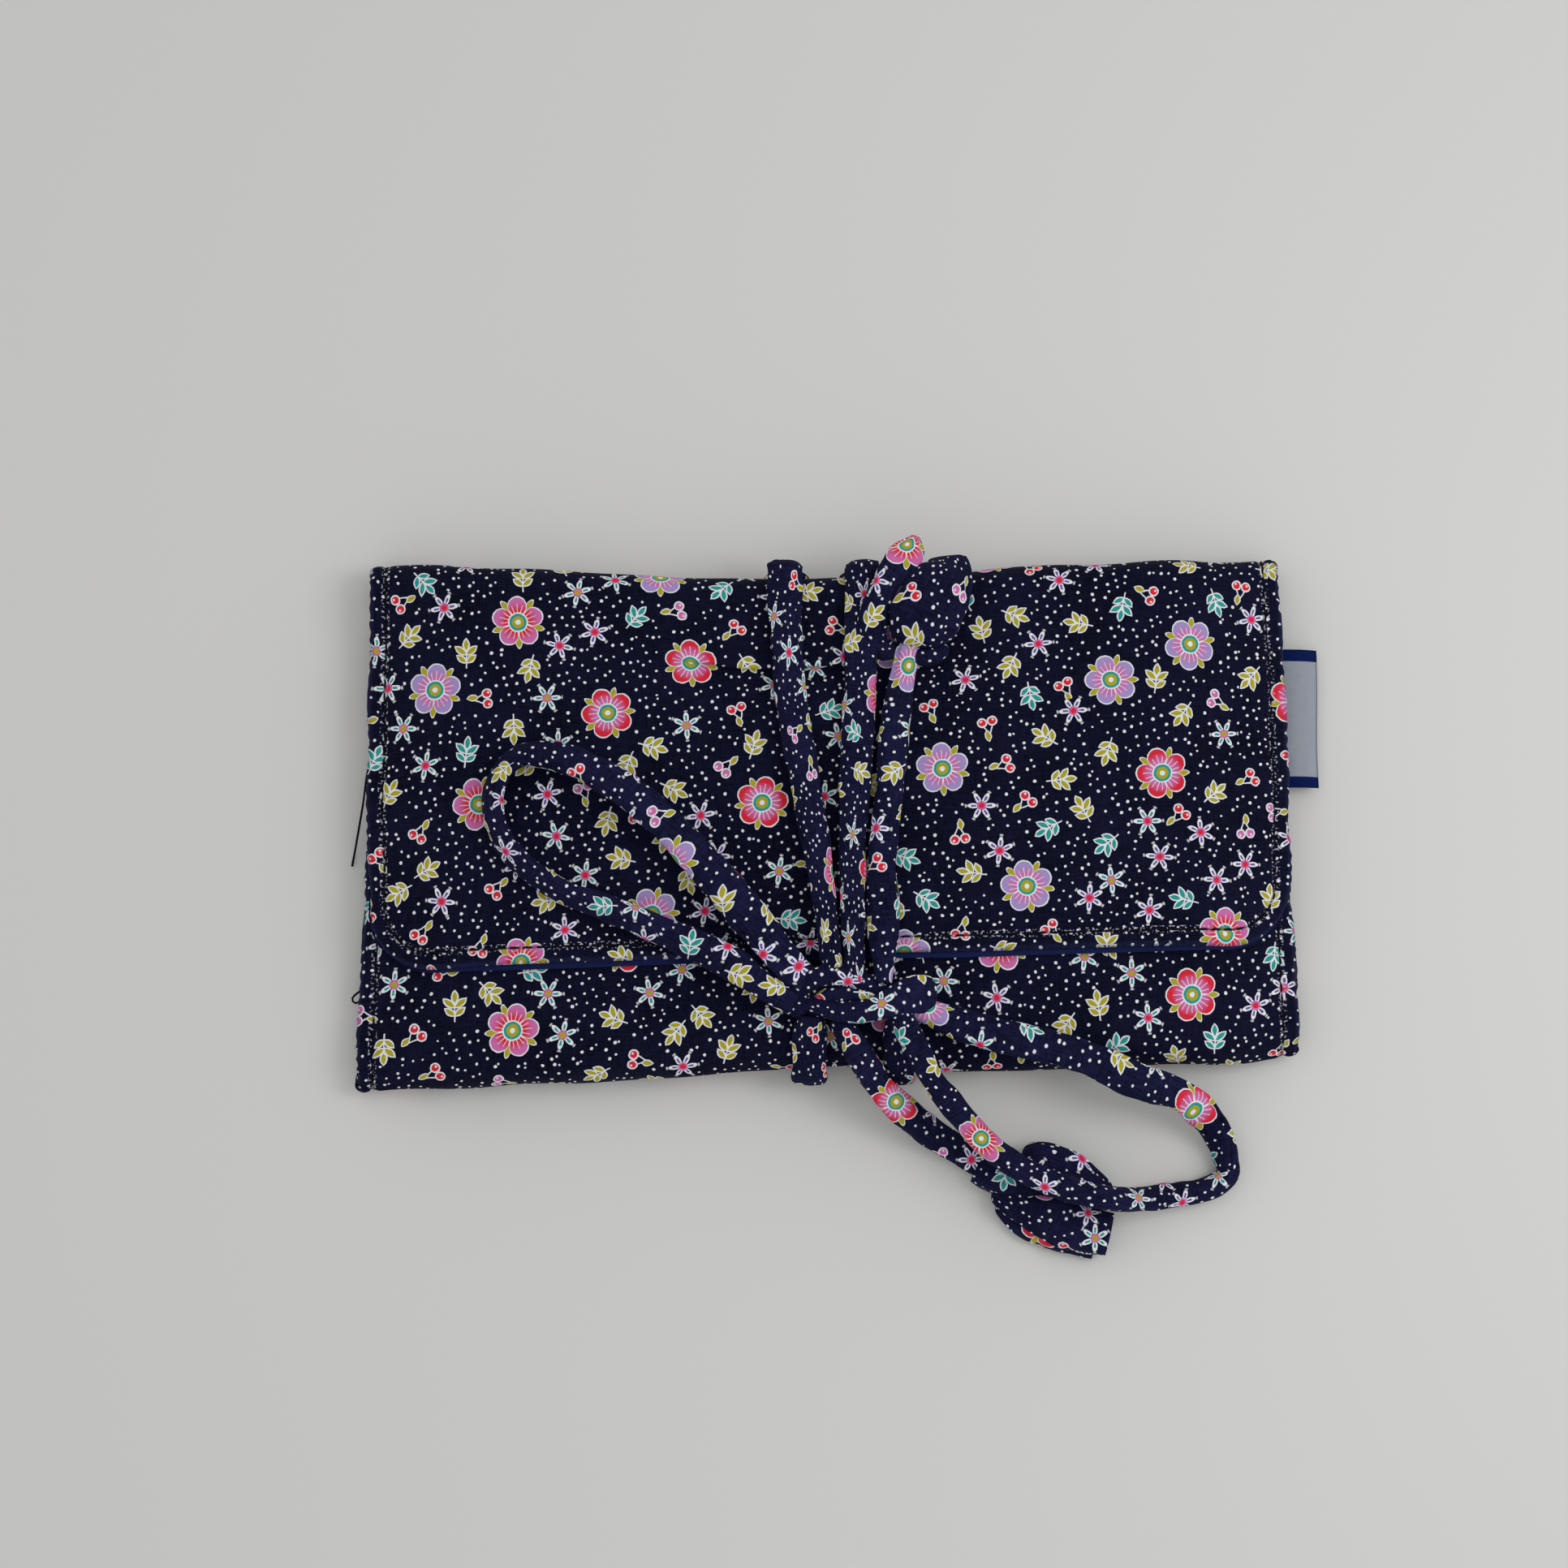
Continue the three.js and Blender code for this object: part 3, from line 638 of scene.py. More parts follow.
# %% [markdown]
# ## Meshes from points
# Each piece below is worked out as points and faces. The print needs the place of every corner on
# the flat cloth, which goes into a UV map in millimetres.


# %% One mesh object
def add_mesh(name, points, faces, corner_uv, material):
    """A smooth mesh in the frame's metres, from points in millimetres."""
    mesh = bpy.data.meshes.new(name)
    mesh.from_pydata(to_frame(points).tolist(), [], [list(face) for face in faces])
    layer = mesh.uv_layers.new(name=CLOTH_UV)
    layer.data.foreach_set("uv", np.asarray(corner_uv, np.float32).ravel())
    mesh.polygons.foreach_set("use_smooth", [True] * len(mesh.polygons))
    mesh.materials.append(material)
    return new_object(name, mesh)


def cover(piece, moves, slot, *nodes):
    """Says how a piece moves and which solids it stands for; the slot is not used."""
    if nodes:
        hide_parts(*nodes)
    moves(piece)


def with_tie(piece):
    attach(piece, "tie")


def distances(points):
    """How far each point of a line is from its start."""
    return np.concatenate([[0], np.cumsum(np.linalg.norm(np.diff(points, axis=0), axis=1))])


def unit(ways):
    return ways / np.linalg.norm(ways, axis=-1, keepdims=True)


def uneven(distance, seed, size, *waves):
    """A smooth unevenness along a distance, up to a size: the mean of sines of these lengths."""
    phases = [seed * (1.7 + 0.9 * k) for k in range(len(waves))]
    total = sum(np.sin(2 * np.pi * distance / wave + phase) for wave, phase in zip(waves, phases))
    return size * (total / len(waves))


print("every corner has its place in the map", CLOTH_UV)

# %% [markdown]
# ## The tie
# The tie is a tube of the same cotton, sewn, turned and pressed flat: about 7 mm wide, limp, with a
# seam along one edge. It is made first. Each stretch is a route of given stops on the flap, round
# the edges, under the back or down to the table.
# A smooth curve goes through the stops and carries a flattened ring with a soft unevenness.

# %% Stops and routes
TIE_WIDTH = 6.4
TIE_THICKNESS = 4
TIE_ROUNDING = 0.5
TIE_EDGE_THICKNESS = 3
TIE_BACK_WIDTH = 9.4
TIE_BACK_THICKNESS = 2.4
TIE_KNOT_WIDTH = 4.5
TIE_CLEAR = 0.15
TOP_UNDER = np.array([0, 0.9, -0.6])
BOTTOM_TURN = (-52, 0, 52)
FOLD_HEIGHT = (ROOM_BOTTOM + ROOM_TOP) / 2
FOLD_Y = BOTTOM + FOLD_HEIGHT
UPWARD = np.array([0, 0, 1.0])
DOWNWARD = -UPWARD


def stop(place, up, width, thickness, lean=0):
    """A place on the tie's middle, the way its flat side faces, its section and its lean in degrees."""
    return np.concatenate([place, up, [width, thickness, math.radians(lean)]])


def thickness_of(width):
    """The tie gets rounder where it is drawn together."""
    return TIE_THICKNESS + TIE_ROUNDING * max(TIE_WIDTH - width, 0)


def on_cloth(height):
    """Stops that lie on the cloth at this height."""

    def lie(x, y, width=TIE_WIDTH, lift=0, lean=0):
        thickness = thickness_of(width)
        raised = np.array([0, 0, LAYER_GAP + thickness / 2 + lift])
        return stop(drape(x, y, height) + raised, UPWARD, width, thickness, lean)

    return lie


on_flap = on_cloth(THICKNESS)
on_front = on_cloth(FRONT_TOP)


def on_table(x, y, lift=0, width=TIE_WIDTH, lean=0):
    thickness = thickness_of(width)
    return stop(np.array([x, y, thickness / 2 + lift]), UPWARD, width, thickness, lean)


def set_out(place, *rows):
    """Stops that lie in one way, from a row of measures for each."""
    return [place(*row) for row in rows]


def round_top(x):
    """Over the top edge and down to the back."""
    out = LAYER_GAP + TIE_EDGE_THICKNESS / 2
    corner = out * math.sqrt(0.5) + LAYER_GAP
    under = LAYER_GAP + TIE_BACK_THICKNESS / 2
    high = drape(x, TOP, THICKNESS) + np.array([0, corner, corner])
    middle = drape(x, TOP, FOLD_HEIGHT) + np.array([0, out + LAYER_GAP, 0])
    low = drape(x, TOP, 0) + under * TOP_UNDER
    return [
        stop(high, np.array([0, 0.7, 0.7]), TIE_WIDTH, TIE_EDGE_THICKNESS),
        stop(middle, np.array([0, 1.0, 0]), TIE_WIDTH, TIE_EDGE_THICKNESS),
        stop(low, np.array([0, 0.7, -0.7]), TIE_BACK_WIDTH, TIE_BACK_THICKNESS),
    ]


def under_back(x, y):
    place = drape(x, y, 0)
    place[2] = TIE_BACK_THICKNESS / 2 + TIE_CLEAR
    return stop(place, DOWNWARD, TIE_BACK_WIDTH, TIE_BACK_THICKNESS)


def round_bottom(x):
    """Round the bottom fold and up to the front."""
    out = FOLD_HEIGHT + LAYER_GAP * 2 + TIE_EDGE_THICKNESS / 2
    stops = []
    for angle in np.radians(BOTTOM_TURN):
        place = drape(x, FOLD_Y, FOLD_HEIGHT * (1 + math.sin(angle)))
        place += np.array([0, -out * math.cos(angle), (out - FOLD_HEIGHT) * math.sin(angle)])
        up = np.array([0, -math.cos(angle), math.sin(angle)])
        stops.append(stop(place, up, TIE_WIDTH, TIE_EDGE_THICKNESS))
    return stops


BOW_X = 5.2
BOW_Y = -40.4
BOW_DEPTH = 13
KNOT_TOP = BOW_Y + BOW_DEPTH / 2 + LAYER_GAP
KNOT_IN = KNOT_TOP - 3.5
KNOT_LOW = BOW_Y - BOW_DEPTH / 2 - LAYER_GAP
BACK_STOPS = [0.92, 0.72, 0.3, -0.15, -0.6, -0.8]
FLAP_LEAD = 7
FRONT_LEAD = 1.6
FRONT_END = 5
FRONT_END_LIFT = 0.6


def tie_turn(front, top_x, bottom_x):
    """One turn of the tie round the pouch."""
    back = [under_back(top_x + (bottom_x - top_x) * (1 - share) / 2, TOP * share) for share in BACK_STOPS]
    over = [*front, on_flap(top_x, TOP - FLAP_LEAD), *round_top(top_x)]
    lead = on_front(bottom_x, FOLD_Y + FRONT_LEAD)
    end = on_front(bottom_x, FOLD_Y + FRONT_END, TIE_KNOT_WIDTH, FRONT_END_LIFT)
    return [*over, *back, *round_bottom(bottom_x), lead, end]


WRAP_LEFT = set_out(
    on_flap,
    (0.6, KNOT_IN, 3.8, 0.4), (0.1, KNOT_TOP, 4, 1), (-0.7, -26, 4.2, 1.6), (-2.7, -10.4, 4.8, 1.4),
    (-5, 3, 5.7, 0.8), (-8.6, 26, 5.8), (-9.2, 36, 6, 1.4),
)
WRAP_RIGHT = set_out(
    on_flap,
    (5, KNOT_IN, 3.8, 0.4), (4.8, KNOT_TOP, 4, 1), (4.6, -26, 4.3, 1.6), (4.4, -10.4, 4.8, 1.4),
    (5, 3, 5.7, 0.8), (6.2, 26, 6.2), (6.5, 36, 6.3, 1.4),
)
TAIL_UP = set_out(
    on_flap,
    (10.8, KNOT_IN, 3.6, 0.4), (11, KNOT_TOP, 3.8, 1), (10.9, -26, 5.8, 1.4), (10.8, -10.4, 5.4, 1.2),
    (12.3, 3, 5, 0.6), (13.9, 20, 5.8), (15.6, 31, TIE_KNOT_WIDTH), (16.4, 35, TIE_KNOT_WIDTH),
    (17.2, 39.5, TIE_KNOT_WIDTH),
)
LOOP_LEFT = set_out(
    on_flap,
    (-5.4, -37, 5.4, 0.6), (-8.9, -33.2, 6.4, 1.8), (-21.3, -17.8, 7.2, 3.8), (-33.4, -4.4, 6.6, 4.4),
    (-45.5, 6, 6.2, 3.4, 10), (-57.7, 12, 6, 1.2, 25), (-66, 12.6, 5.6, 0.2, 45), (-70.4, 8.6, 5.4, 0, 60),
    (-71.7, 2, 5.4, 0, 66), (-68.6, -6.5, 5.6, 0, 64), (-59.1, -14.8, 6, 0, 60), (-47, -20, 6.2, 0.2, 54),
    (-33.3, -26, TIE_WIDTH, 0.8, 44), (-22.5, -31.6, TIE_WIDTH, 1, 28), (-11.6, -39.4, 5, 1),
    (-8, -41.4, TIE_KNOT_WIDTH, 0),
)
LOOP_RIGHT = set_out(
    on_front,
    (17.6, -42.2, TIE_KNOT_WIDTH, 1), (21.6, -43.6, 5, 1), (29, -46, 6, 1),
    (38.7, -48.8, TIE_WIDTH, 0.8), (52, -52.6, TIE_WIDTH, 0.8),
) + set_out(
    on_table,
    (64.1, -56.9, 11.5, TIE_WIDTH, 4), (74, -60, 8.6, 6.2, 10), (79.4, -64, 4.6, 6.2, 20),
    (82.4, -68.1, 2.2, 6, 34), (84.2, -73.2, 0.6, 5.2, 56), (84.6, -76.4, 0.2, 4.4, 70),
    (80.6, -79.2, 0.2, 4.6, 58), (72.1, -80.8, 1, 5, 48), (64.5, -81.7, 4.2, 5, 44),
    (55.7, -81.2, 8.6, 5, 42), (47.5, -78.8, 9.4, 5, 36), (39.3, -75.2, 9.4, 5, 30),
    (34.4, -71.8, 9.6, 4.8, 26), (29.7, -67.2, 10.4, 4.8, 22), (25.6, -62.4, 12.4, 4.8, 14),
    (20.9, -56.6, 14.4, TIE_KNOT_WIDTH), (17.4, -49.6, 16.2, TIE_KNOT_WIDTH),
    (14.2, -43.4, 15.6, TIE_KNOT_WIDTH),
)
TAIL_DOWN = set_out(
    on_front,
    (2, KNOT_LOW + 2.4, TIE_KNOT_WIDTH, 1), (3.4, KNOT_LOW - 1, TIE_KNOT_WIDTH, 1.6), (6, -52.6, 5, 2.2),
) + set_out(
    on_table,
    (10.6, -58.6, 9.4, 5.4), (17.8, -65, 4.6, 5.6), (23.8, -69, 1.8, 5.6), (29.7, -72.6, 0.5, 5.2),
    (34.6, -75.6, 0.4, 5.2),
)
STRETCHES = {
    "tie_wrap_left": (tie_turn(WRAP_LEFT, -9.8, -4.6), "object", "taut"),
    "tie_wrap_right": (tie_turn(WRAP_RIGHT, 7, 14.6), "object", "taut"),
    "tie_tail_up": (TAIL_UP, "knot", "loose"),
    "tie_tail_down": (TAIL_DOWN, "knot", "loose"),
    "bow_loop_left": (LOOP_LEFT, "object", "loose"),
    "bow_loop_right": (LOOP_RIGHT, "object", "loose"),
}
print("tie routes have", sum(len(stops) for stops, _, _ in STRETCHES.values()), "stops")

# %% A smooth line through the stops
CURVE_STEPS = 24


def through(stops, spacing):
    """Stops about this far apart on a smooth curve through the given ones."""
    stops = np.asarray(stops, float)
    framed = np.vstack([2 * stops[0] - stops[1], stops, 2 * stops[-1] - stops[-2]])
    share = np.linspace(0, 1, CURVE_STEPS, endpoint=False)[:, None]
    square, cube = share**2, share**3
    fine = []
    for before, start, end, after in zip(framed, framed[1:], framed[2:], framed[3:]):
        legs = (start - before, end - start, after - end)
        first, span, last = (np.linalg.norm(leg[:3]) ** 0.5 + 1e-6 for leg in legs)
        leave = legs[0] / first - (end - before) / (first + span) + legs[1] / span
        arrive = legs[1] / span - (after - start) / (span + last) + legs[2] / last
        fine.append(
            (2 * cube - 3 * square + 1) * start
            + (cube - 2 * square + share) * (leave * span)
            + (3 * square - 2 * cube) * end
            + (cube - square) * (arrive * span)
        )
    fine = np.vstack([*fine, stops[-1:]])
    length = distances(fine[:, :3])
    even = np.linspace(0, length[-1], max(4, round(length[-1] / spacing)))
    return np.stack([np.interp(even, length, column) for column in fine.T], axis=1), even


# %% A flattened tube of cotton
TUBE_SIDES = 32
TUBE_SPACING = 0.7
FULLNESS = 1.14
FLATNESS = 0.88
WIDE_POWER = 0.8
HIGH_POWER = 0.86
END_TIP = 0.002
LYING = 0.9
WIDTH_WANDER = (0.05, 31, 17, 11)
THICKNESS_WANDER = (0.1, 23, 13, 7)
LEAN_WANDER = (0.09, 37, 21)
RIPPLE = (0.05, 6.1, 9.7, 14.3)
RIPPLE_TURN = 9
SWELL = (0.06, 19, 12)
SWELL_TURN = 14
SWELL_PACE = 0.6
TUBE_SEAM_DEPTH = 0.09
TUBE_SEAM_ANGLE = 2.5
TUBE_SEAM_REACH = 0.14
TUBE_SEAM_ASIDE = 0.3
PRINT_SHIFT = np.array([37.0, 53.0])


def section_of(angle):
    """A flat ring with soft edges, one unit wide and high each way from its middle."""
    wide = np.sign(np.cos(angle)) * abs(np.cos(angle)) ** WIDE_POWER
    high = np.sign(np.sin(angle)) * abs(np.sin(angle)) ** HIGH_POWER
    return wide, high


def rounded_ends(length, ends):
    """How full a tube is along its length, if its ends are rounded over these distances."""
    full = np.ones(len(length))
    for away, reach in ((length, ends[0]), (length[-1] - length, ends[1])):
        if reach:
            full *= np.sqrt(np.clip(1 - (1 - np.minimum(away / reach, 1)) ** 2, END_TIP, 1))
    return full


def tube_rings(stops, seed, fullness, flatness, ends):
    """Rings of points along one stretch of the tie."""
    line, length = through(stops, TUBE_SPACING)
    place = line[:, :3].copy()
    along = unit(np.gradient(place, axis=0))
    across = unit(np.cross(along, line[:, 3:6]))
    up = np.cross(across, along)
    full = rounded_ends(length, ends)
    width = line[:, 6] * fullness * full * (1 + uneven(length, seed, *WIDTH_WANDER))
    thickness = line[:, 7] * flatness * full * (1 + uneven(length, seed + 3, *THICKNESS_WANDER))
    lean = line[:, 8] + uneven(length, seed + 6, *LEAN_WANDER)
    settle = (line[:, 7] - thickness) / 2 - abs(np.sin(line[:, 8])) * (width - thickness) / 2
    place -= np.where(up[:, 2:] > LYING, UPWARD * settle[:, None], 0)
    side = across * np.cos(lean)[:, None] - up * np.sin(lean)[:, None]
    face = up * np.cos(lean)[:, None] + across * np.sin(lean)[:, None]
    angle = 2 * np.pi * np.arange(TUBE_SIDES) / TUBE_SIDES
    wide, high = section_of(angle)
    ripple = uneven(length[:, None] + RIPPLE_TURN * np.cos(angle), seed + 5, *RIPPLE)
    waist = uneven(length[:, None] * SWELL_PACE + SWELL_TURN * np.sin(angle), seed + 8, *SWELL)
    swell = 1 + ripple + waist
    seam = TUBE_SEAM_DEPTH * thickness[:, None] * bell(angle - TUBE_SEAM_ANGLE, TUBE_SEAM_REACH)
    aside = wide * swell * width[:, None] / 2 - seam * np.cos(TUBE_SEAM_ANGLE) * TUBE_SEAM_ASIDE
    raised = high * swell * thickness[:, None] / 2 - seam
    rings = place[:, None] + side[:, None] * aside[..., None] + face[:, None] * raised[..., None]
    return rings, length, place, width.mean()


def tube_faces(rings, sides):
    """Faces of a tube of rings, with a cap at each end."""
    index = np.arange(rings * sides).reshape(rings, sides)
    after = np.roll(index, -1, axis=1)
    quads = np.stack([index[:-1], after[:-1], after[1:], index[1:]], axis=-1).reshape(-1, 4)
    return [*quads.tolist(), index[0, ::-1].tolist(), index[-1].tolist()]


def moved_on(faces, first):
    """The same faces for points that start at a later number."""
    return [[first + k for k in face] for face in faces]


def tube(stops, seed, fullness=FULLNESS, flatness=FLATNESS, ends=(0, 0)):
    """Points, faces and cloth places of one stretch of the tie, with its middle and width."""
    rings, length, place, width = tube_rings(stops, seed, fullness, flatness, ends)
    widest = rings[len(rings) // 2]
    around = distances([*widest, widest[0]])
    side = np.arange(TUBE_SIDES)
    row = np.arange(len(rings) - 1)[:, None]
    turns = around[np.stack([side, side + 1, side + 1, side], axis=-1)]
    runs = length[np.stack([row, row, row + 1, row + 1], axis=-1)]
    quads = np.stack(np.broadcast_arrays(turns, runs), axis=-1).reshape(-1, 2)
    first = np.stack([around[-2::-1], np.zeros(TUBE_SIDES)], axis=1)
    last = np.stack([around[:-1], np.full(TUBE_SIDES, length[-1])], axis=1)
    places = np.vstack([quads, first, last]) + seed * PRINT_SHIFT
    return rings.reshape(-1, 3), tube_faces(len(rings), TUBE_SIDES), places, (place, width)


def tie_piece(node, stops, seed):
    """A stretch of the tie that stands for its solid, the line through its middle and its width."""
    points, faces, corners, (middle, width) = tube(stops, seed)
    piece = add_mesh(node + "_cloth", points, faces, corners, LIT_TIE_COTTON)
    cover(piece, with_tie, "tie_cotton", node)
    return piece, to_frame(middle), width * MM


# %% The stretches of the tie
tie = {}
for seed, (node, (stops, _, _)) in enumerate(STRETCHES.items(), 1):
    tie[node] = tie_piece(node, stops, seed)
    print(node, "of", len(tie[node][0].data.vertices), "points")


# %% [markdown]
# ## Knots
# The ends of the tie are kept from fraying by overhand knots, drawn so tight that only fat folds of
# band show: a broad one over the front, one that turns up beside it and the cut end. The bow's own
# knot is an eye: one band arches over it, one slings below and ends in a folded lobe, and a third
# shows between. Each fold is a short band of its own, set one by one and sunk into the next.


# %% Folds of a knot
def fold(ends, *rows, middle=np.zeros(3)):
    """The stops of one fold of a knot, and the distances over which its ends are rounded.

    A row holds x, y, height, width, thickness, and a way up if that isn't upward.
    """
    stops = []
    for x, y, height, width, thickness, *up in rows:
        stops.append(stop(middle + (x, y, height), *(up or [UPWARD]), width, thickness))
    return stops, ends


def knot_piece(node, seed, *folds):
    """The folds of a knot as one piece that stands for its solid."""
    points, faces, places = [], [], []
    for number, (stops, ends) in enumerate(folds, seed + 1):
        fold_points, fold_faces, fold_places, _ = tube(stops, number, 1, 1, ends)
        faces += moved_on(fold_faces, sum(map(len, points)))
        points.append(fold_points)
        places.append(fold_places)
    piece = add_mesh(node + "_cloth", np.vstack(points), faces, np.vstack(places), LIT_TIE_COTTON)
    cover(piece, with_tie, "tie_cotton", node)
    print(node, "of", len(piece.data.vertices), "points")
    return piece


# %% Overhand knots at the ends of the tie
knot_up = knot_piece(
    "end_knot_up",
    20,
    fold(
        (0, 2),
        (25.2, 54.6, 17.4, 8.6, 2), (25.2, 52.6, 18.8, 10, 3.2), (24.2, 49.6, 20.4, 12.2, 4.8),
        (22.4, 45.6, 21.4, 14.4, 6), (20.2, 41.4, 21, 15, 6.2), (18.8, 38, 19.2, 13.2, 5.2),
        (18.4, 35.6, 17, 10.4, 3.4),
    ),
    fold(
        (2, 0),
        (14.6, 34.6, 16.4, 4, 3), (11.4, 34.9, 17, 4.8, 3.6), (9.2, 37.2, 17.8, 5.6, 4.4),
        (8.9, 40.4, 18.6, 6.2, 4.8), (10.4, 44.8, 19.4, 6.6, 5), (12.9, 49.4, 19.8, 7.4, 4.8),
        (15.6, 53.6, 19.6, 8.4, 3.8), (17.4, 56.8, 19.2, 6, 2.6), (18.3, 59.2, 19, 1.6, 1.2),
    ),
    fold(
        (1.4, 1.6),
        (15, 34.2, 16.2, 3, 2.4), (18.4, 33.2, 16.8, 4, 3), (22, 33.6, 17.2, 4.2, 3.2),
        (25, 36, 17.4, 3.6, 3),
    ),
)
knot_down = knot_piece(
    "end_knot_down",
    30,
    fold(
        (3, 2.4),
        (40.4, -73, 4, 6.2, 5.4), (45.6, -73, 4.8, 7.2, 6.4), (50.4, -75, 4.9, 7.4, 6.4),
        (55.2, -78.4, 4.4, 6.8, 5.8), (59.4, -81.8, 3.6, 4.6, 4.2),
    ),
    fold(
        (2.2, 0),
        (34.4, -79.4, 3.2, 5, 4.6), (37.6, -81, 3.8, 7, 5.4), (42, -83, 4.4, 9.2, 6),
        (48, -85.6, 4.4, 10.2, 5.4), (54, -87.8, 3.8, 10.4, 4.6), (59, -89, 3.4, 9.6, 3.8),
    ),
    fold(
        (1.6, 0),
        (35.4, -82, 2, 4, 3), (41, -86.2, 2, 6, 3.4), (48, -89.4, 1.9, 6, 3.2),
        (56, -91.6, 1.8, 5.2, 2.8),
    ),
    fold(
        (0, 1.6),
        (31.4, -75, 3, 6, 3.4), (35, -77, 4, 6.4, 4), (40, -78.8, 4.6, 7, 4.4),
        (46, -80.4, 4.6, 7, 4.4), (53, -83, 4.2, 6, 4),
    ),
)

# %% The knot of the bow
OUTWARD = np.array([1, 0, 0.4])
bow_middle = drape(BOW_X, BOW_Y, FRONT_TOP) + UPWARD * LAYER_GAP
arch = fold(
    (1.4, 1.2),
    (-10.6, -3.2, 2.4, 4.4, 3.2), (-12.4, -0.6, 4, 4.8, 3.4), (-11.4, 2.6, 5.6, 4.8, 3.6),
    (-7.6, 4.4, 6.6, 4.6, 3.8), (-2.6, 4.4, 6.8, 4.4, 3.8), (1.8, 3.2, 6.2, 4, 3.4),
    (5.8, 1.2, 4.8, 3, 2.8), (8, -0.2, 3.4, 2.4, 2.4),
    middle=bow_middle,
)
sling = fold(
    (1, 1),
    (-11.4, -0.8, 3.2, 3, 2.6), (-8.4, -1.6, 4.8, 3.6, 3.2), (-4.6, -2.8, 6, 4.2, 3.6),
    (0, -3.2, 6.8, 4.8, 3.8), (4.6, -2.3, 7.2, 5.4, 3.8), (8.8, -0.6, 6.8, 6.8, 3.6),
    (12.6, 0.6, 5.6, 8, 3.2), (15.6, 0.7, 3.8, 7.6, 2.8, OUTWARD),
    (15.2, 0.8, 2, 6.8, 2.6, DOWNWARD), (11, 0.8, 1.8, 6, 2.6, DOWNWARD),
    middle=bow_middle,
)
inner = fold(
    (1.2, 1.2),
    (-9, -0.6, 4, 2, 2), (-5.6, 0.4, 5.2, 3.6, 2.8), (-1.4, 1, 5.6, 4, 3),
    (3, 1, 5.2, 3.6, 2.8), (6.6, 0.4, 4, 2, 2),
    middle=bow_middle,
)
core = fold(
    (2.4, 2.4),
    (-11.6, -0.4, 2.8, 6, 4), (-6, 0, 3.2, 8.6, 5), (2, -0.4, 3.2, 8.4, 5), (9, -0.2, 3, 6.6, 4.4),
    middle=bow_middle,
)
bow_knot = knot_piece("bow_knot", 40, arch, sling, inner, core)

# %% Go over the stretches of the tie
for node, (_, far_end, tension) in STRETCHES.items():
    piece, line, width = tie[node]


# %% [markdown]
# ## The cloth of the pouch
# The pouch is one strip of cotton and one of lining. Seen from the side, each strip runs from the
# mouth down the front, round the bottom, up the back, over the top and down the flap. So a point
# of cloth has two places: across the strip, and along that side view. A grid of such points, bent by
# the drape above, is the cloth. It is cut where the pouch bends, into front, back and flap, and each
# is closed with a second face, because real cloth has a thickness.

# %% The side view of a strip
BACK_TURN = 3.5
FLAP_TURN = 5
INNER_BACK_TURN = 1.5
INNER_FLAP_TURN = 2
TURN_STEPS = 25


def strip(*corners):
    """The side view of a strip: straight runs between square corners of (y, height, radius)."""
    ends = [np.array(corner[:2], float) for corner in corners]
    turn = np.linspace(0, np.pi / 2, TURN_STEPS)[:, None]
    trace = [ends[0]]
    for before, corner, after, (_, _, radius) in zip(ends, ends[1:], ends[2:], corners[1:]):
        into, out = unit(corner - before), unit(after - corner)
        centre = corner + (out - into) * radius
        trace.extend(centre - out * radius * np.cos(turn) + into * radius * np.sin(turn))
    trace = np.array([*trace, ends[-1]])
    return trace, distances(trace)


def at_run(side_view, distance):
    """The y and height at a distance along a strip."""
    trace, run = side_view
    return np.interp(distance, run, trace[:, 0]), np.interp(distance, run, trace[:, 1])


def run_at(side_view, y, height):
    """The distance along a strip nearest to a y and height."""
    trace, run = side_view
    return float(run[np.argmin(np.hypot(trace[:, 0] - y, trace[:, 1] - height))])


INNER_TOP = TOP - FLAP_LAYERS
FLAP_BOTTOM = THICKNESS - FLAP_LAYERS
INNER_FOLD = BOTTOM + FRONT_TOP - ROOM_TOP
INNER_RADIUS = (ROOM_TOP - ROOM_BOTTOM) / 2
LINING_PEEK = 0.5
OUTER = strip(
    (MOUTH, FRONT_TOP),
    (BOTTOM, FRONT_TOP, FOLD_HEIGHT),
    (BOTTOM, 0, FOLD_HEIGHT),
    (TOP, 0, BACK_TURN),
    (TOP, THICKNESS, FLAP_TURN),
    (FLAP_EDGE, THICKNESS),
)
INNER = strip(
    (MOUTH, ROOM_TOP),
    (INNER_FOLD, ROOM_TOP, INNER_RADIUS),
    (INNER_FOLD, ROOM_BOTTOM, INNER_RADIUS),
    (INNER_TOP, ROOM_BOTTOM, INNER_BACK_TURN),
    (INNER_TOP, FLAP_BOTTOM, INNER_FLAP_TURN),
    (FLAP_EDGE - LINING_PEEK, FLAP_BOTTOM),
)
OUTER_END = OUTER[1][-1]
print("the strip of cotton is", round(OUTER_END), "mm long")


def with_shell(piece):
    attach(piece, "shell")


def with_back(piece):
    """Bakes the back's place into its mesh, so it stays where it lies."""
    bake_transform(piece)


def with_flap(piece):
    """Bakes the flap's place into its mesh, so it stays where it lies."""
    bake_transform(piece)


# %% [markdown]
# ## Slack and sewing
# Three things make cloth look sewn: long soft waves where it is slack, a groove where the thread pulls
# it down, and small puckers between the stitches. They are worked out as heights over the smooth
# cloth, and added along its normal, so they are real shape and not only shading.

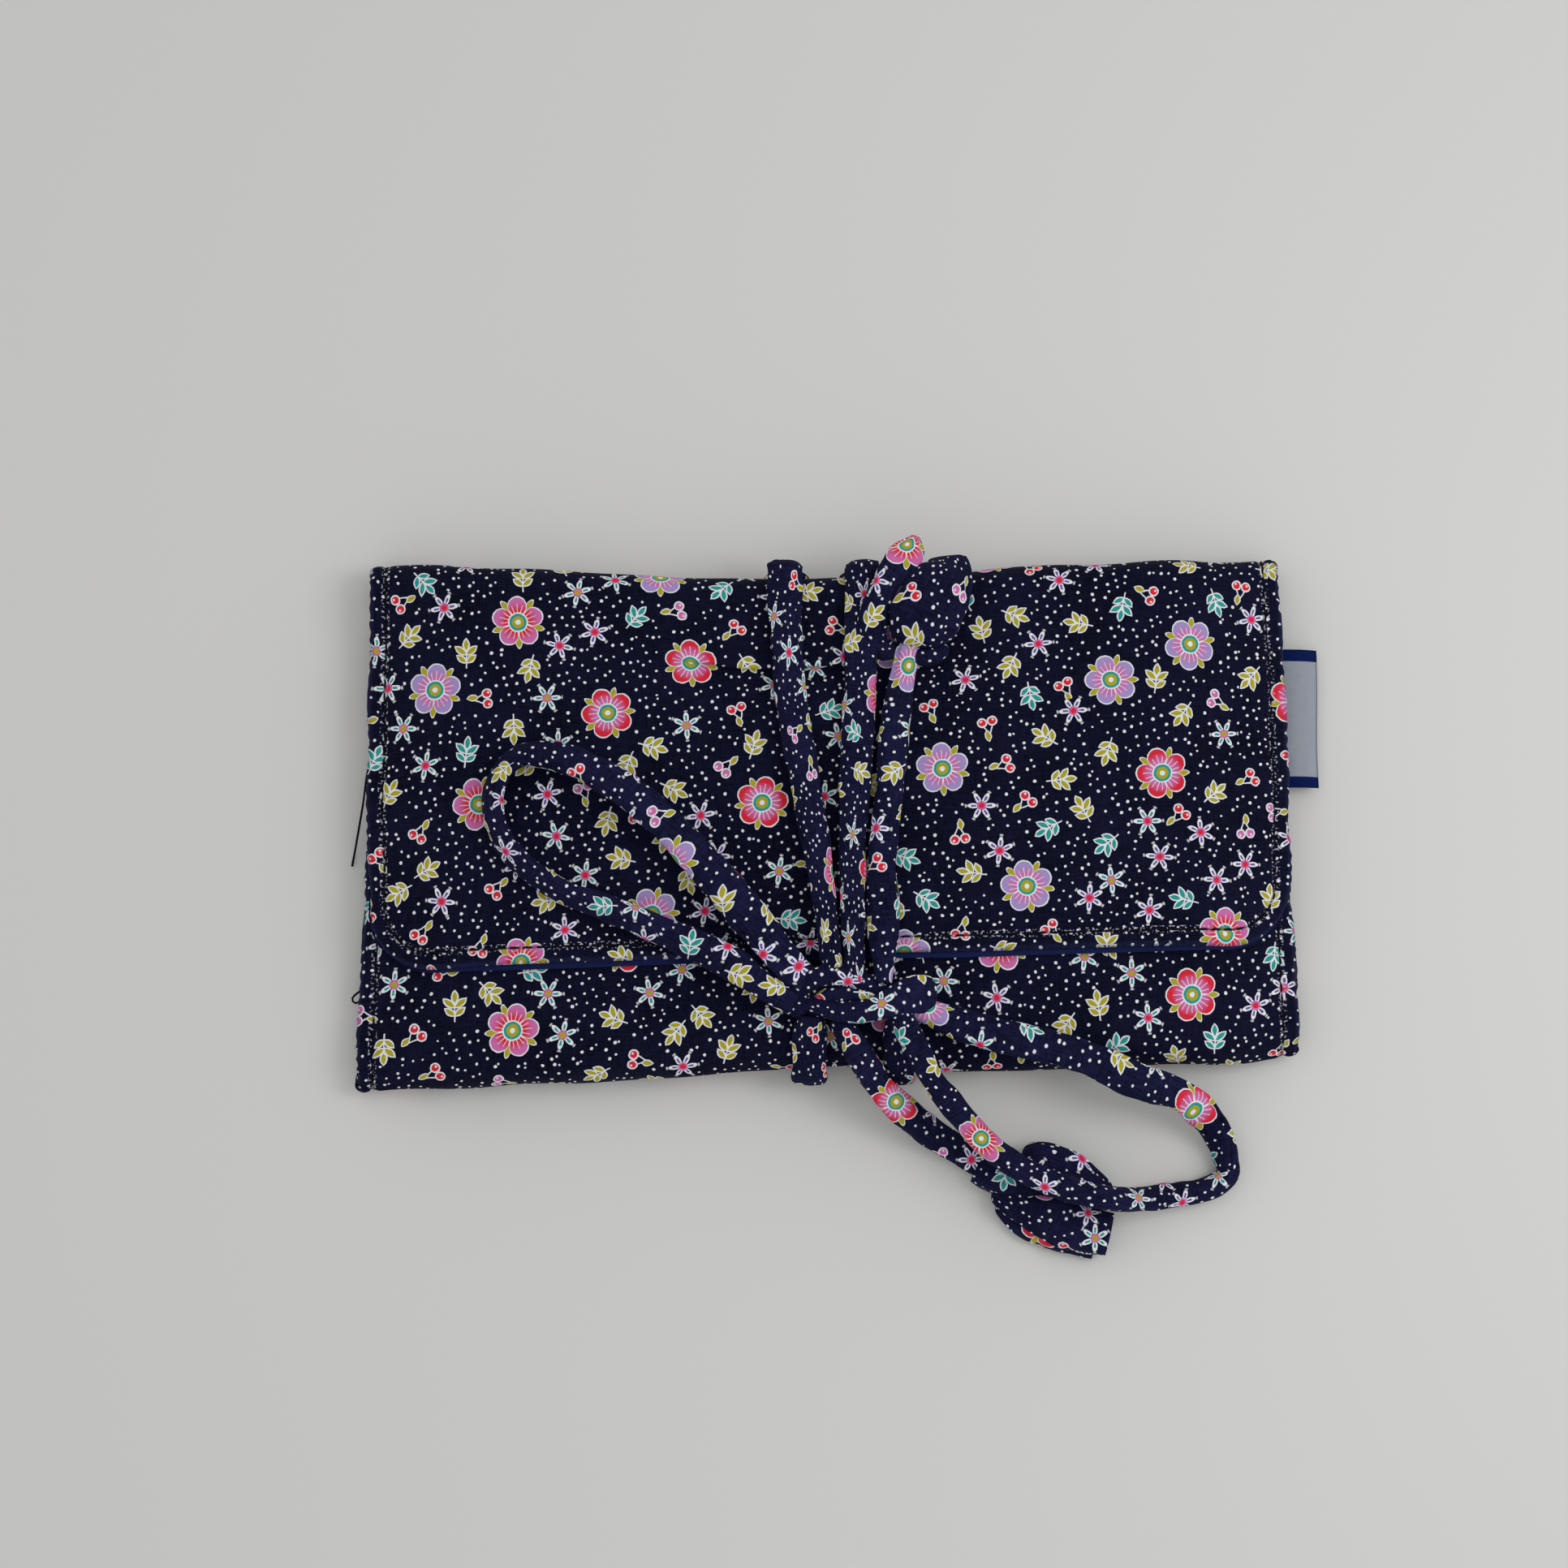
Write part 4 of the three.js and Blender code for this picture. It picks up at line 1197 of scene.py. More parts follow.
# %% Heights over the smooth cloth
STITCH_PITCH = 2.9
STITCH_DEPTH = 0.75
GROOVE_WIDTH = 0.65
PUCKER = 0.2
PUCKER_IN = 1.8
PUCKER_REACH = 1.1
PUCKER_FADE = 4.5
PUCKER_RUN = (3, 5)
PUCKER_WAVES = (3.1, 5.3, 7.9)
STITCH_WANDER = (1.2, 13, 31)
GROOVE_SHARE = 0.6
SLACK = 0.34
SLACK_WAVES = ((61, 0.4, 0), (43, 1.9, 1.1), (37, 2.6, 2.3), (29, 1.1, 4), (23, 0.1, 5.2), (19, 2.2, 0.7))
CLOTH = 0.45
EDGE_STEPS = np.array([0, 0.05, 0.16, 0.33, 0.55, 0.82, 1.12, 1.5, 2.0])
EDGE_ZONE = 2.6


def spaced(total, step, first=True, last=True):
    """Distances from 0 to a total: close together at a sewn edge, else a step apart."""
    low = EDGE_ZONE if first else 0
    high = total - EDGE_ZONE if last else total
    middle = np.linspace(low, high, round((high - low) / step) + 1)
    before = EDGE_STEPS if first else []
    after = total - EDGE_STEPS[::-1] if last else []
    return np.concatenate([before, middle, after])


def slack(u, y):
    """Long soft waves of a padded cloth, each of a length, a way and a phase."""
    total = 0
    for length, way, phase in SLACK_WAVES:
        total = total + np.sin(2 * np.pi * (u * np.cos(way) + y * np.sin(way)) / length + phase)
    return SLACK * total / math.sqrt(len(SLACK_WAVES))


def rolled(distance, radius):
    """How far an edge of this radius has rolled down at a distance from its rim."""
    inward = radius - np.minimum(distance, radius)
    return radius - np.sqrt(radius**2 - inward**2)


def stitch_phase(along):
    """The angle that goes round once a stitch, a little unevenly."""
    return 2 * np.pi * along / STITCH_PITCH + uneven(along, 2, *STITCH_WANDER)


def sewn(distance, along, radius):
    """The height near a topstitched edge, at a distance from the rim and a place along it."""
    phase = stitch_phase(along)
    pull = 0.5 + 0.5 * np.cos(phase)
    drawn_down = GROOVE_SHARE + (1 - GROOVE_SHARE) * pull
    groove = STITCH_DEPTH * drawn_down * bell(distance - STITCH_INSET, GROOVE_WIDTH)
    rim = PUCKER * np.sin(phase) * bell(distance - PUCKER_IN, PUCKER_REACH)
    inside = np.exp(-np.maximum(distance - STITCH_INSET, 0) / PUCKER_FADE)
    drawn = uneven(along, 4, PUCKER, *PUCKER_WAVES) * (inside * smoothstep(distance, *PUCKER_RUN))
    return rim + drawn - groove - rolled(distance, radius)


# %% A closed cloth from a grid
NORMAL_STEP = 0.2


def closed_cloth(name, outer, inner, places, material):
    """A piece with two faces over one grid, joined round their rims, and its places on the flat cloth."""
    count = outer[..., 0].size
    grid = np.arange(count).reshape(outer.shape[:2])
    quads = np.stack([grid[:-1, :-1], grid[1:, :-1], grid[1:, 1:], grid[:-1, 1:]], axis=-1).reshape(-1, 4)
    loop = np.concatenate([grid[:, 0], grid[-1, 1:], grid[-2::-1, -1], grid[0, -2:0:-1]])
    after = np.roll(loop, -1)
    rim = np.stack([loop, loop + count, after + count, after], axis=1)
    faces = np.vstack([quads, quads[:, ::-1] + count, rim])
    points = np.vstack([outer.reshape(-1, 3), inner.reshape(-1, 3)])
    corners = np.tile(places.reshape(-1, 2), (2, 1))[faces.ravel()]
    return add_mesh(name, points, faces, corners, material)


def cloth_normal(side_view, u, s):
    """Points of a smooth cloth and the way out of it, from small steps across and along."""
    ahead, behind = (at_run(side_view, s + step) for step in (NORMAL_STEP, -NORMAL_STEP))
    here = at_run(side_view, s)
    onward = drape(u, *ahead) - drape(u, *behind)
    aside = drape(u + NORMAL_STEP, *here) - drape(u - NORMAL_STEP, *here)
    return drape(u, *here), unit(np.cross(onward, aside))


def lay(side_view, u, s, height):
    """Points of cloth at places across and along a strip, raised by a height."""
    smooth, normal = cloth_normal(side_view, u, s)
    return smooth + normal * height[..., None]


def cloth_piece(name, side_view, u, s, height, material, inside=False, cloth=CLOTH, cut=None):
    """A closed piece of cloth; an inside one shows its face to the room of the pouch.

    The cut gives places on the flat cloth, where folds or a seam have drawn it in.
    """
    outer = lay(side_view, u, s, -height + cloth if inside else height)
    inner = lay(side_view, u, s, -height if inside else height - cloth)
    return closed_cloth(name, outer, inner, np.stack(cut or (u, s), axis=-1), material)


def mark_seam(piece, distance):
    """Tells the cotton how near each point is to its rim."""
    near = np.maximum(SEAM_REACH - distance, 0).ravel()
    layer = piece.data.attributes.new(SEAM, "FLOAT", "POINT")
    layer.data.foreach_set("value", np.tile(near, 2).astype(np.float32))


# %% [markdown]
# ## The flap
# The flap is the part of the strip that everyone sees: rounded lower corners, a topstitched edge, a
# crease where the tie holds it down, and sides that the thread has drawn into small scallops. The
# grid narrows in the rounded corners, so its rim follows the cut edge.

# %% Flap
FLAP_STEP = 0.8
ROW_SHIFT = 7
SCALLOP = 0.2
SCALLOP_FADE = 2
SCALLOP_SHARE = 0.6
SCALLOP_WANDER = (0.5, 19, 37)
SCALLOP_DRIFT = (1.5, 17, 29)
FLAP_LEFT_INSET = 1.3
SKEW_UP_RUN = (10, 38)
SKEW_START = 40
SPINE_CUT = 6.8
FLAP_ROLL = 1.3
FLAP_CALM = 8
LINING_SHOWS = 0.6
SHOWS_UP = 10
SHOWS_SIDE_RUN = (66, 92)
TUCK_Y = 34.4
TUCK_X = -7
TUCK_HALF = 15
TUCK_FADE = 16
TUCK_HEIGHT = 2.3
TUCK_LEAN = 2.2
TUCK_RUN = 4.5
TUCK_LIP = 0.6
TUCK_WAVE = 0.8
TUCK_WAVE_RUN = 9
PULL = 0.5
PULL_RUN = (8, 24)
PULL_FADE = 42
PULL_RAYS = ((1, 7, 0.8), (0.6, 11, 2.1))


def flap_outline(u, w):
    """The distance to the flap's rim and the place along it, w above its lower edge."""
    side = HALF_WIDTH - abs(u)
    corner = (side < FLAP_RADIUS) & (w < FLAP_RADIUS)
    aside, below = FLAP_RADIUS - side, FLAP_RADIUS - w
    distance = np.where(corner, FLAP_RADIUS - np.hypot(aside, below), np.minimum(side, w))
    bend = FLAP_RADIUS * np.arctan2(below, aside)
    straight = FLAP_RADIUS * np.pi / 2 + HALF_WIDTH - FLAP_RADIUS - abs(u)
    along = np.where(corner, bend, np.where(side < w, below, straight))
    return np.maximum(distance, 0), along + ROW_SHIFT * np.sign(u)


def flap_half(w):
    """Half the flap's width, w above its lower edge."""
    below = np.maximum(FLAP_RADIUS - w, 0)
    return HALF_WIDTH - FLAP_RADIUS + np.sqrt(np.maximum(FLAP_RADIUS**2 - below**2, 0))


def flap_grid(side_view, step):
    """Places of the flap's grid across and along a strip, and above its lower edge."""
    start = run_at(side_view, TOP, SPINE_CUT)
    end = side_view[1][-1]
    s = start + spaced(end - start, step, first=False)
    share = spaced(2 * HALF_WIDTH, step) / HALF_WIDTH - 1
    w = (end - s)[:, None] + 0 * share
    return flap_half(w) * share, s[:, None] + 0 * share, w


def scalloped(u, distance, along):
    """Places across the strip, with the rim drawn in between the stitches."""
    waves = np.cos(stitch_phase(along)) * (SCALLOP_SHARE + uneven(along, 5, *SCALLOP_WANDER))
    waves += uneven(along, 6, *SCALLOP_DRIFT)
    return u - np.sign(u) * SCALLOP * waves * np.exp(-distance / SCALLOP_FADE)


def flap_skew(u, w):
    """How far the left side of the flap lies in from that of the front."""
    return FLAP_LEFT_INSET * (1 - smoothstep(w, *SKEW_UP_RUN)) * smoothstep(-u, SKEW_START, HALF_WIDTH)


def tuck(u, y):
    """The crease across the flap above the bow, from 0 below it to 1 on its lip."""
    window = 1 - smoothstep(abs(u - TUCK_X), TUCK_HALF, TUCK_HALF + TUCK_FADE)
    above = y - TUCK_Y - TUCK_WAVE * np.sin(u / TUCK_WAVE_RUN)
    return window * np.exp(-np.maximum(above, 0) / TUCK_RUN) * smoothstep(above, -TUCK_LIP, TUCK_LIP)


def pulls(u, y):
    """Soft folds that run out from the bow, where it draws the flap together."""
    reach = np.hypot(u - BOW_X, y - BOW_Y)
    way = np.arctan2(y - BOW_Y, u - BOW_X)
    rays = sum(size * np.sin(count * way + phase) for size, count, phase in PULL_RAYS)
    return PULL * rays * smoothstep(reach, *PULL_RUN) * np.exp(-reach / PULL_FADE)


def flap_height(u, s):
    """The height of the flap's cotton over its smooth form."""
    w = OUTER_END - s
    y, _ = at_run(OUTER, s)
    slackness = (slack(u, y) + pulls(u, y)) * smoothstep(w, 0, FLAP_CALM)
    return slackness + sewn(*flap_outline(u, w), FLAP_ROLL) + TUCK_HEIGHT * tuck(u, y)


def flap_drawn(u, s):
    """Where places of the flap come to lie: drawn in at the rim, and leaning over at the crease."""
    w = OUTER_END - s
    hem = LINING_SHOWS * (1 - smoothstep(w, 0, SHOWS_UP)) * (1 - smoothstep(abs(u), *SHOWS_SIDE_RUN))
    lip = TUCK_LEAN * tuck(u, at_run(OUTER, s)[0])
    return scalloped(u, *flap_outline(u, w)) + flap_skew(u, w), s - hem + lip


u, s, w = flap_grid(OUTER, FLAP_STEP)
drawn = flap_drawn(u, s)
outer_flap = cloth_piece("outer_flap_cloth", OUTER, *drawn, flap_height(u, s), COTTON, cut=(u, s))
mark_seam(outer_flap, flap_outline(u, w)[0])
cover(outer_flap, with_flap, "printed_cotton", "outer_flap", "outer_spine")
flap_length = (OUTER_END - run_at(OUTER, TOP, SPINE_CUT)) * MM
print("flap cloth of", len(outer_flap.data.vertices), "points")

# %% [markdown]
# ## Front and back
# The rest of the strip makes the front with the bottom fold, and the back with the lower half of the
# top edge. Both are sewn to each other along the sides, so their rims are two rolls, one on the
# other. The front goes with the shell, and the back stays where it lies.

# %% Front and back
SHELL_ROLL = 1.6
UNDERSIDE = 0.6
UNDERSIDE_RUN = 4
UNDERSIDE_SLACK = 0.4
SHELL_STEP = 0.8
BACK_STEP = 1.6


def side_along(u, s):
    """The place along the strip's sides, counted as on the flap."""
    return s - OUTER_END + FLAP_RADIUS + ROW_SHIFT * np.sign(u)


def settled(u, s):
    """The slack of the cotton, which the table holds back underneath."""
    y, height = at_run(OUTER, s)
    free = smoothstep(height, 0, UNDERSIDE_RUN)
    held = UNDERSIDE_SLACK + (1 - UNDERSIDE_SLACK) * free
    return slack(u, y) * held - UNDERSIDE * (1 - free)


def shell_rim(u, s):
    """The distance to the rim of the front or back: its sides, or the mouth that the strip starts at."""
    return np.minimum(HALF_WIDTH - abs(u), s)


def shell_height(u, s):
    """The height of the front's and the back's cotton over their smooth form."""
    along = np.where(HALF_WIDTH - abs(u) < s, side_along(u, s), u)
    return settled(u, s) + sewn(shell_rim(u, s), along, SHELL_ROLL)


def strip_grid(start, end, step):
    """Places of a grid over the whole width, between two distances along a strip."""
    s = start + spaced(end - start, step, first=start == 0, last=False)
    u = spaced(2 * HALF_WIDTH, SHELL_STEP) - HALF_WIDTH
    return np.tile(u, (len(s), 1)), np.tile(s[:, None], (1, len(u)))


def shell_piece(name, start, end, step, moves, *nodes):
    """The cotton between two distances along the strip."""
    u, s = strip_grid(start, end, step)
    drawn = scalloped(u, HALF_WIDTH - abs(u), side_along(u, s))
    piece = cloth_piece(name, OUTER, drawn, s, shell_height(u, s), COTTON)
    mark_seam(piece, shell_rim(u, s))
    cover(piece, moves, "printed_cotton", *nodes)
    print(name, "of", len(piece.data.vertices), "points")


front_end = run_at(OUTER, FOLD_Y, 0)
back_end = run_at(OUTER, TOP, SPINE_CUT)
shell_piece("outer_front_cloth", 0, front_end, SHELL_STEP, with_shell, "outer_shell")
shell_piece("outer_back_cloth", front_end, back_end, BACK_STEP, with_back, "outer_shell", "outer_spine")

# %% [markdown]
# ## Lining and wadding
# Under the cotton lies a thin wadding, and inside it the navy lining. They follow the same side
# view a few layers further in, and roll towards the cotton at every rim, where they are sewn to it.
# The wadding can't be seen, but it is what makes the pouch soft, so it is there.

# %% Lining
LINING_STEP = 1.6
LINING_PRESS = 0.3
LINING_PRESS_RUN = (2, 12)
LINING_INSET = 3
FLAP_LINING_INSET = 0.7
FLAP_LINING_RUN = (-4, 8)


def lining_height(u, s, rim, radius):
    """The height of the lining towards the room, with its rim rolled to the cotton."""
    y, _ = at_run(INNER, s)
    press = LINING_PRESS * (1 - smoothstep(HALF_WIDTH - abs(u), *LINING_PRESS_RUN))
    return press - slack(u, y) - rolled(rim, radius)


def lining_piece(name, u, s, height, inset, moves, nodes, skew=0):
    """Lining over a grid of places, with its sides drawn in by an inset."""
    drawn = u * (1 - inset / HALF_WIDTH) + skew
    piece = cloth_piece(name, INNER, drawn, s, height, LINING, inside=True)
    cover(piece, moves, "navy_lining", *nodes)
    print(name, "of", len(piece.data.vertices), "points")


inner_front_end = run_at(INNER, INNER_FOLD + INNER_RADIUS, ROOM_BOTTOM)
inner_back_end = run_at(INNER, TOP, SPINE_CUT)
for name, start, end, moves, nodes in (
    ("lining_front_cloth", 0, inner_front_end, with_shell, ["lining_shell"]),
    ("lining_back_cloth", inner_front_end, inner_back_end, with_back, ["lining_shell", "lining_spine"]),
):
    u, s = strip_grid(start, end, LINING_STEP)
    height = lining_height(u, s, shell_rim(u, s), SHELL_ROLL)
    lining_piece(name, u, s, height, LINING_INSET, moves, nodes)

u, s, w = flap_grid(INNER, LINING_STEP)
height = lining_height(u, s, flap_outline(u, w)[0], FLAP_ROLL) * smoothstep(w, *FLAP_LINING_RUN)
nodes = ["lining_flap", "lining_spine"]
lining_piece("lining_flap_cloth", u, s, height, FLAP_LINING_INSET, with_flap, nodes, flap_skew(u, w))

# %% Wadding
WADDING_STEP = 3
WADDING_INSET = 4.5
WADDING_DEPTH = 1
WADDING_CLOTH = 0.8
FLAP_WADDING_CLOTH = 0.5


def soft_fleece(surface):
    tufts = noise(cloth_place(surface), 0.7, 6.0)
    colour = mix(tufts, ink("d4d2ca"), ink("f0efea"))
    return {"Base_Color": colour, "Roughness": 0.95, "Normal": bump(tufts, 0.8, 0.4)}


FLEECE = new_material("wadding fleece", soft_fleece)
WADDING = strip(
    (MOUTH - WADDING_INSET, FRONT_TOP - WADDING_DEPTH),
    (BOTTOM + WADDING_DEPTH, FRONT_TOP - WADDING_DEPTH, FOLD_HEIGHT - WADDING_DEPTH),
    (BOTTOM + WADDING_DEPTH, WADDING_DEPTH, FOLD_HEIGHT - WADDING_DEPTH),
    (TOP - WADDING_DEPTH, WADDING_DEPTH, BACK_TURN - WADDING_DEPTH),
    (TOP - WADDING_DEPTH, THICKNESS - WADDING_DEPTH, FLAP_TURN - WADDING_DEPTH),
    (FLAP_EDGE + WADDING_INSET, THICKNESS - WADDING_DEPTH),
)
WADDING_END = WADDING[1][-1]


def even_grid(half, low, high, step):
    """Places of an even grid, half a width each way and from low to high."""
    across = np.linspace(-half, half, round(2 * half / step))
    along = np.linspace(low, high, round((high - low) / step))
    return np.tile(across, (len(along), 1)), np.tile(along[:, None], (1, len(across)))


def wadding_piece(part, start, end, cloth, moves, nodes):
    """A pad between two distances along the strip, a seam's width in from its sides."""
    u, s = even_grid(HALF_WIDTH - WADDING_INSET, start, end, WADDING_STEP)
    narrowed = flap_half(WADDING_END - s) / HALF_WIDTH
    y, _ = at_run(WADDING, s)
    pad = cloth_piece(f"wadding_{part}_pad", WADDING, u * narrowed, s, slack(u, y), FLEECE, cloth=cloth)
    cover(pad, moves, "wadding", *("wadding_" + node for node in nodes))
    print(pad.name, "of", len(pad.data.vertices), "points")


pad_front_end = run_at(WADDING, FOLD_Y, WADDING_DEPTH)
pad_back_end = run_at(WADDING, TOP, SPINE_CUT)
for part, start, end, cloth, moves, nodes in (
    ("front", 0, pad_front_end, WADDING_CLOTH, with_shell, ["shell"]),
    ("back", pad_front_end, pad_back_end, WADDING_CLOTH, with_back, ["shell", "spine"]),
    ("flap", pad_back_end, WADDING_END, FLAP_WADDING_CLOTH, with_flap, ["flap", "spine"]),
):
    wadding_piece(part, start, end, cloth, moves, nodes)


# %% [markdown]
# ## The slip pocket
# Inside, a patch of lining is sewn to the back wall on three sides, for rings and chains. Only
# an opened pouch shows it. Its free edge is turned over once, so it is thicker there.

# %% Pocket
pocket_low, pocket_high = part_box("inner_pocket")
POCKET_HALF = (pocket_high.x - pocket_low.x) / 2 / MM
POCKET_BOTTOM = (pocket_low.y - MIDDLE[1]) / MM + 1
POCKET_TOP = (pocket_high.y - MIDDLE[1]) / MM
POCKET_STEP = 1.5
POCKET_LIFT = 0.35
POCKET_RISE = 0.9
POCKET_RISE_RUN = 9
POCKET_HEM = 6
POCKET_HEM_DEPTH = 0.25
POCKET_HEM_REACH = 0.7

flat_back = strip((BOTTOM, ROOM_BOTTOM), (TOP, ROOM_BOTTOM))
u, y = even_grid(POCKET_HALF, POCKET_BOTTOM, POCKET_TOP, POCKET_STEP)
s = y - BOTTOM
sewn_rim = np.minimum(POCKET_HALF - abs(u), s - s.min())
hem = POCKET_HEM_DEPTH * bell(s.max() - s - POCKET_HEM, POCKET_HEM_REACH)
height = POCKET_LIFT + POCKET_RISE * smoothstep(sewn_rim, 0, POCKET_RISE_RUN) - hem - slack(u, s + BOTTOM)
inner_pocket = cloth_piece("inner_pocket_cloth", flat_back, u, s, height, LINING, inside=True)
cover(inner_pocket, with_shell, "navy_lining", "inner_pocket")
pocket_flat = (2 * POCKET_HALF * MM, (POCKET_TOP - POCKET_BOTTOM) * MM)
print("pocket", [round(size / MM) for size in pocket_flat], "mm")

# %% [markdown]
# ## Topstitching
# Every rim is sewn 3.5 mm in with a dark thread. Each stitch is a small bent tube whose ends dive
# into the cloth, so the row catches light as thread does. One function follows any row of places.

# %% Thread
THREAD_RADIUS = 0.23
STITCH_LENGTH = 2.6
STITCH_RINGS = 5
STITCH_SIDES = 6
STITCH_ARCH = 2.2
STITCH_SINK = 1.1
ROW_PAST_FOLD = 6
STRAIGHT_POINTS = 60
BEND_POINTS = 20


def dark_thread(surface):
    twist = noise(surface.node("TexCoord", {})["Object"], 4000.0, 2.0)
    colour = mix(twist, ink("040409"), ink("0f0f18"))
    return {
        "Base_Color": colour,
        "Roughness": 0.8,
        "Specular_IOR_Level": 0.1,
        "Normal": bump(twist, 0.5, 0.05),
    }


THREAD = new_material("topstitch thread", dark_thread)


def as_cut(u, s):
    return u, s


def stitches(name, moves, u, s, height, drawn=as_cut):
    """One mesh of stitches along a row of places on the cotton, which may be drawn in."""
    run = distances(lay(OUTER, *drawn(u, s), height(u, s)))
    starts = np.arange(STITCH_PITCH / 2, run[-1] - STITCH_PITCH, STITCH_PITCH)
    share = np.linspace(0, 1, STITCH_RINGS)
    places = starts[:, None] + STITCH_LENGTH * share
    u, s = np.interp(places, run, u), np.interp(places, run, s)
    arch = THREAD_RADIUS * (STITCH_ARCH * np.sin(np.pi * share) - STITCH_SINK)
    middle = lay(OUTER, *drawn(u, s), height(u, s) + arch)
    _, up = cloth_normal(OUTER, *drawn(u, s))
    across = unit(np.cross(np.gradient(middle, axis=1), up))
    angle = 2 * np.pi * np.arange(STITCH_SIDES) / STITCH_SIDES
    ring = across[:, :, None] * np.cos(angle)[:, None] + up[:, :, None] * np.sin(angle)[:, None]
    points = (middle[:, :, None] + THREAD_RADIUS * ring).reshape(-1, 3)
    one = tube_faces(STITCH_RINGS, STITCH_SIDES)
    faces = []
    for first in range(0, len(points), STITCH_RINGS * STITCH_SIDES):
        faces += moved_on(one, first)
    piece = add_mesh(name, points, faces, np.zeros((sum(map(len, faces)), 2)), THREAD)
    cover(piece, moves, "tie_cotton")
    print(name, "has", len(starts), "stitches")


def flap_row():
    """Places along the flap's topstitching, from one side of the top edge to the other."""
    bend = np.linspace(0, np.pi / 2, BEND_POINTS)
    reach = FLAP_RADIUS - STITCH_INSET
    centre = HALF_WIDTH - FLAP_RADIUS
    straight_u = np.full(STRAIGHT_POINTS, HALF_WIDTH - STITCH_INSET)
    straight_w = np.linspace(OUTER_END - back_end, FLAP_RADIUS, STRAIGHT_POINTS)
    hem_u = np.linspace(centre, 0, STRAIGHT_POINTS)
    hem_w = np.full(STRAIGHT_POINTS, STITCH_INSET)
    half_u = np.concatenate([straight_u, centre + reach * np.cos(bend), hem_u])
    half_w = np.concatenate([straight_w, FLAP_RADIUS - reach * np.sin(bend), hem_w])
    w = np.concatenate([half_w, half_w[-2::-1]])
    return np.concatenate([-half_u, half_u[-2::-1]]), OUTER_END - w


# %% Rows of stitches
SIDE_POINTS = 120
MOUTH_POINTS = 160
side_place = HALF_WIDTH - STITCH_INSET
front_run = np.linspace(STITCH_INSET, run_at(OUTER, FOLD_Y, FRONT_TOP) + ROW_PAST_FOLD, SIDE_POINTS)
back_run = np.linspace(front_end, back_end, SIDE_POINTS)
mouth_u = np.linspace(-side_place, side_place, MOUTH_POINTS)
mouth_s = np.full(MOUTH_POINTS, STITCH_INSET)
stitches("stitches_flap", with_flap, *flap_row(), flap_height, flap_drawn)
for side, u in (("left", -side_place), ("right", side_place)):
    row = np.full(SIDE_POINTS, u)
    stitches("stitches_front_" + side, with_shell, row, front_run, shell_height)
    stitches("stitches_back_" + side, with_back, row, back_run, shell_height)
stitches("stitches_mouth", with_shell, mouth_u, mouth_s, shell_height)

# %% [markdown]
# ## The side label
# A short satin ribbon is folded in two and caught in the right-hand seam. It is bare, with
# a plain navy band woven at each end. The ribbon is a grid that goes out, round the fold and back
# in, drooping a little over the table.

# %% Label
_, label_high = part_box("side_label")
LABEL_LENGTH = 30.4
LABEL_BAND = 2.5
LABEL_TOP = TOP - 19.4
LABEL_TUCK = HALF_WIDTH - 5
LABEL_TIP = (label_high.x - MIDDLE[0]) / MM
LABEL_HEIGHT = label_high.z / MM - 0.3
LABEL_DROOP = 1.2
LABEL_RIPPLE = 0.16
LABEL_RIPPLE_RUN = 4.1
LABEL_WANDER = 0.18
LABEL_WANDER_RUN = 6.3
LABEL_ROUNDING = 0.9
LABEL_FOLD = 14
LABEL_LAYER = 0.22
LABEL_ROWS = 59
LABEL_COLUMNS = 41
RIBBON = 0.12
TWILL_PITCH = 0.42
TWILL_SLANT = 1.6


def satin_ribbon(surface):
    place = cloth_place(surface)
    parts = surface.node("SeparateXYZ", {}, place)
    slant = parts["X"] + parts["Y"] * TWILL_SLANT
    twill = slant.math("SINE", slant * (2 * math.pi / TWILL_PITCH)) * 0.5 + 0.5
    silver = mix(noise(place, 0.6, 4.0), ink("7e8691"), ink("959ba4"))
    silver = mix(twill * 0.5, silver, ink("a6aab1"))
    band = within(abs(parts["Y"] - LABEL_LENGTH / 2) * -1, LABEL_BAND - LABEL_LENGTH / 2)
    navy = mix(twill * 0.6, ink("011144"), ink("031c58"))
    return {
        "Base_Color": mix(band, silver, navy),
        "Roughness": 0.5,
        "Specular_IOR_Level": 0.05,
        "Normal": bump(twill, 0.5, 0.08),
    }


SATIN = new_material("satin ribbon", satin_ribbon)


